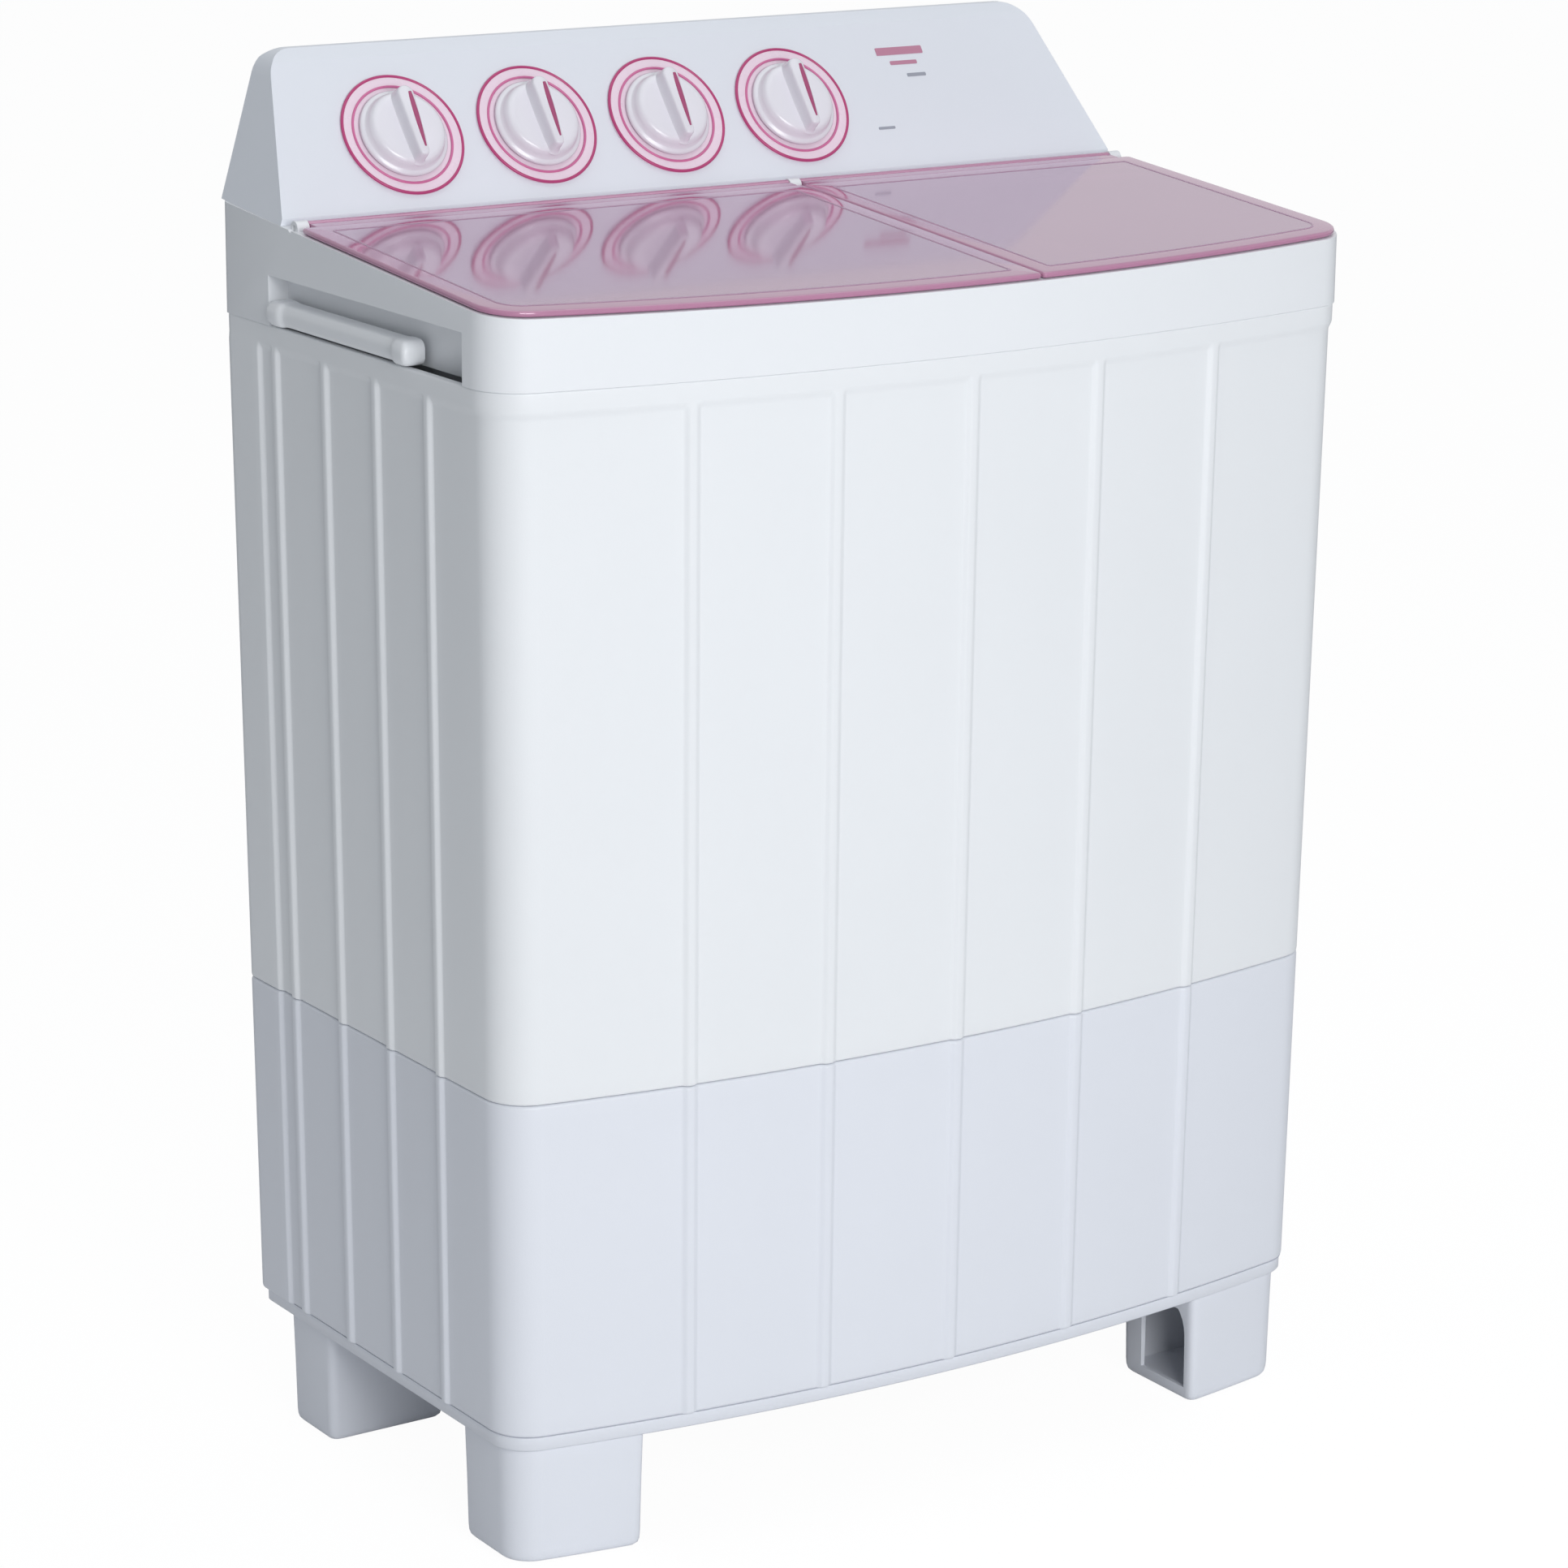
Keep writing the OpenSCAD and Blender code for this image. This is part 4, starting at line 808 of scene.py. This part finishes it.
def lid_piece(prefix, x0, x1, b0, b1, body):
    profile = [(-LID_T, 1.4 * MM), (-LID_T + 0.4 * MM, 0.5 * MM), (-LID_T + 1.2 * MM, 0), (-1.5 * MM, 0),
               (-0.6 * MM, 0.35 * MM), (-0.12 * MM, 1.0 * MM), (0, 2.0 * MM), (0, BORDER)]
    loops = [[on_lid(x, v, w) for x, v in lid_outline(x0, x1, t)] for w, t in profile]
    verts, faces = rings(loops)
    tongue = [(b0, LID_END - 10 * MM), (b1, LID_END - 10 * MM), (b1, LID_END), (b0, LID_END)]
    slab = rings([[on_lid(x, v, w) for x, v in tongue] for w in (-LID_T + 0.1 * MM, -0.1 * MM)])
    barrel = rings([[(x, HINGE_Y + r * math.cos(a), HINGE_Z + r * math.sin(a))
                     for a in (2 * math.pi * k / 40 for k in range(40))]
                    for x, r in ((b0 - 0.3 * MM, BARREL_R - 0.7 * MM), (b0, BARREL_R),
                                 (b1, BARREL_R), (b1 + 0.3 * MM, BARREL_R - 0.7 * MM))])
    plate = piece_from(prefix + "_plate", verts, faces, body, MATERIALS["lid_plastic"], "lid_plastic", 60)
    plate.data.materials.append(LID_BORDER)
    for face in plate.data.polygons:
        if len(face.vertices) < 10:
            face.material_index = 1
    piece_from(prefix + "_hinge", *join(slab, barrel), body, LID_BORDER, "lid_plastic", 40)
    rim = [[on_lid(x, v, w) for x, v in lid_outline(x0, x1, t)]
           for w, t in ((0.05 * MM, BORDER - 0.9 * MM), (0.32 * MM, BORDER - 0.6 * MM),
                        (0.32 * MM, BORDER + 0.5 * MM), (0.05 * MM, BORDER + 0.8 * MM))]
    piece_from(prefix + "_line", *rings(rim, closed=True), body, LID_LINE, "lid_plastic", 60)
    return plate


EAR_INSET = 7.5 * MM
EARS = [-HALF_W + EAR_INSET, SPLIT_X, HALF_W - EAR_INSET]
EAR_GAP = 5.1 * MM
LID_SIDE = HALF_W - 2 * MM
HALF_SPLIT = 0.75 * MM
wash_lid = lid_piece("wash_lid", -LID_SIDE, SPLIT_X - HALF_SPLIT, EARS[0] + EAR_GAP, EARS[1] - EAR_GAP,
                     "wash_lid")
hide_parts("wash_lid")
spin_lid = lid_piece("spin_lid", SPLIT_X + HALF_SPLIT, LID_SIDE, EARS[1] + EAR_GAP, EARS[2] - EAR_GAP,
                     "spin_lid")
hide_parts("spin_lid")


# ---------------------------------------------------------------- side handles
bar_low, bar_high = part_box("side_handles")


def handle_mesh(side):
    """A grab bar with two round-faced ends standing a little prouder than its middle."""
    y0, y1 = bar_low.y, bar_high.y
    z0, z1 = bar_low.z, bar_high.z
    mid = (z0 + z1) / 2
    half = (z1 - z0) / 2
    wall_x = HALF_W - 11 * MM
    proud = bar_high.x
    # distance along the bar, height share, how far out the face stands
    spots = [(0, 0.40, -1.5), (1.0, 0.66, -0.6), (2.6, 0.86, -0.1), (5, 0.97, 0), (9, 1.0, 0), (13, 1.0, 0),
             (16, 0.98, -0.3), (18, 0.95, -1.2), (19.5, 0.92, -2.2), (22, 0.90, -2.6), (30, 0.90, -2.7)]
    length = (y1 - y0) / MM
    chain = [(y0 + s * MM, h, d * MM) for s, h, d in spots]
    chain += [(y0 + (y1 - y0) * k / 8, 0.90, -2.7 * MM) for k in range(2, 7)]
    chain += [(y0 + (length - s) * MM, h, d * MM) for s, h, d in reversed(spots)]
    loops = []
    for y, share, set_back in chain:
        loop = [(wall_x, mid - half * share), (wall_x, mid + half * share)]
        face = proud + set_back
        for k in range(17):
            a = math.pi / 2 - math.pi * k / 16
            reach = math.copysign(abs(math.cos(a)) ** 0.55, math.cos(a))
            loop.append((wall_x + (face - wall_x) * (0.52 + 0.48 * reach) if 0 < k < 16
                         else wall_x + (face - wall_x) * 0.52, mid + half * share * math.sin(a)))
        loops.append([(side * x, y, z) for x, z in loop])
    return rings(loops)


handles = piece_from("side_handle_bars", *join(handle_mesh(-1), handle_mesh(1)), "machine",
                     MATERIALS["top_plastic"], "top_plastic", SHELL_ANGLE)
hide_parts("side_handles")

# ---------------------------------------------------------------- the rest of the machine, soft-edged
ALREADY = {"cabinet", "base", "top_frame", "console", "wash_lid", "spin_lid", "side_handles", "knob_bezels",
           *KNOBS}
# round runs and pierced plates keep the CAD's own edges
AS_MADE = {"drain_hose", "wiring_harness", "power_cord", "water_inlet", "drive_belt", "back_cover",
           "console_back", "bottom_guard", "spin_basket", "overflow_cover", "lint_filter", "pulsator",
           "spin_cap", "drive_pulley", "gearbox", "motor_bracket", "tub_set", "bellows_seal"}
# plates shaded flat
FLAT_PLATES = {"back_cover", "console_back", "bottom_guard", "motor_bracket"}
for name in sorted(frame["nodes"]):
    if name not in ALREADY:
        slot = NODE_SLOT[name]
        low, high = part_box(name)
        thin = min(high - low)
        width = 0 if name in AS_MADE else min(0.8 * MM, thin * 0.12)
        angle = FLAT_ANGLE if name in FLAT_PLATES else SOFT_ANGLE
        refined(name + "_skin", name, width, MATERIALS[slot], 2, angle)


# ---------------------------------------------------------------- stage, light and camera
def stage_material():
    made = bpy.data.materials.new("studio_paper")
    made.use_nodes = True
    tree = made.node_tree
    shader = tree.nodes["Principled BSDF"]
    output = tree.nodes["Material Output"]
    finish_maps(tree, shader, (0.93, 0.93, 0.935), 0.8, 60.0, 0.05, 0.01)
    glow = node(tree, "ShaderNodeEmission", Color=(1, 1, 1, 1), Strength=1.025)
    path = node(tree, "ShaderNodeLightPath")
    share = node(tree, "ShaderNodeMath", operation="MULTIPLY")
    share.inputs[1].default_value = 0.94
    mixed = node(tree, "ShaderNodeMixShader")
    tree.links.new(path.outputs["Is Camera Ray"], share.inputs[0])
    tree.links.new(share.outputs[0], mixed.inputs["Fac"])
    tree.links.new(shader.outputs[0], mixed.inputs[1])
    tree.links.new(glow.outputs[0], mixed.inputs[2])
    tree.links.new(mixed.outputs[0], output.inputs["Surface"])
    return made


def make_floor():
    mesh = bpy.data.meshes.new("floor")
    bm = bmesh.new()
    bmesh.ops.create_grid(bm, x_segments=24, y_segments=24, size=14.0)
    bm.to_mesh(mesh)
    bm.free()
    floor = bpy.data.objects.new("studio_floor", mesh)
    scene.collection.objects.link(floor)
    mesh.materials.append(stage_material())


def make_world():
    world = bpy.data.worlds.new("studio")
    scene.world = world
    world.use_nodes = True
    tree = world.node_tree
    tree.nodes.clear()
    path = node(tree, "ShaderNodeLightPath")
    seen = node(tree, "ShaderNodeBackground", Color=(1, 1, 1, 1), Strength=1.0)
    soft = node(tree, "ShaderNodeBackground", Color=(0.87, 0.935, 1.0, 1), Strength=0.285)
    mixed = node(tree, "ShaderNodeMixShader")
    output = node(tree, "ShaderNodeOutputWorld")
    mirror = node(tree, "ShaderNodeMath", operation="MULTIPLY")
    mirror.inputs[1].default_value = 0.75
    either = node(tree, "ShaderNodeMath", operation="MAXIMUM")
    tree.links.new(path.outputs["Is Glossy Ray"], mirror.inputs[0])
    tree.links.new(mirror.outputs[0], either.inputs[0])
    tree.links.new(path.outputs["Is Camera Ray"], either.inputs[1])
    tree.links.new(either.outputs[0], mixed.inputs["Fac"])
    tree.links.new(soft.outputs[0], mixed.inputs[1])
    tree.links.new(seen.outputs[0], mixed.inputs[2])
    tree.links.new(mixed.outputs[0], output.inputs["Surface"])


def area_light(name, at, target, size, power, colour=(1, 1, 1)):
    data = bpy.data.lights.new(name, "AREA")
    data.shape = "RECTANGLE"
    data.size, data.size_y = size
    data.energy = power
    data.color = colour
    lamp = bpy.data.objects.new(name, data)
    scene.collection.objects.link(lamp)
    lamp.location = at
    lamp.rotation_mode = "QUATERNION"
    lamp.rotation_quaternion = (Vector(target) - Vector(at)).to_track_quat("-Z", "Y")
    return lamp


VIEW_AZIMUTH = -33.7224
VIEW_ELEVATION = 15.2257
VIEW_ROLL = 0.5067
VIEW_TARGET = (0, 0.0178, 0.44426)
VIEW_DISTANCE = 3.4619
VIEW_LENS = 113.83
VIEW_SHIFT = (-0.00165, 0.0082)


def make_camera():
    azimuth, elevation, roll = (math.radians(a) for a in (VIEW_AZIMUTH, VIEW_ELEVATION, VIEW_ROLL))
    back = Vector((math.sin(azimuth) * math.cos(elevation), -math.cos(azimuth) * math.cos(elevation),
                   math.sin(elevation)))
    right = Vector((math.cos(azimuth), math.sin(azimuth), 0))
    up = back.cross(right)
    right2 = right * math.cos(roll) + up * math.sin(roll)
    up2 = up * math.cos(roll) - right * math.sin(roll)
    data = bpy.data.cameras.new("product_camera")
    camera = bpy.data.objects.new("product_camera", data)
    scene.collection.objects.link(camera)
    camera.matrix_world = Matrix((right2, up2, back)).transposed().to_4x4()
    camera.location = Vector(VIEW_TARGET) + back * VIEW_DISTANCE
    data.sensor_width = 36.0
    data.lens = VIEW_LENS
    data.shift_x, data.shift_y = VIEW_SHIFT
    scene.camera = camera


make_floor()
make_world()
area_light("key_front", at=(-0.95, -4.2, 1.9), target=(0, 0, 0.5), size=(2.2, 2.0), power=107,
           colour=(0.985, 0.992, 1.0))
area_light("top_soft", at=(0.2, 0.1, 3.4), target=(0, 0, 0.8), size=(3.0, 3.0), power=24,
           colour=(0.98, 0.985, 1.0))
make_camera()
scene.view_settings.view_transform = "Standard"
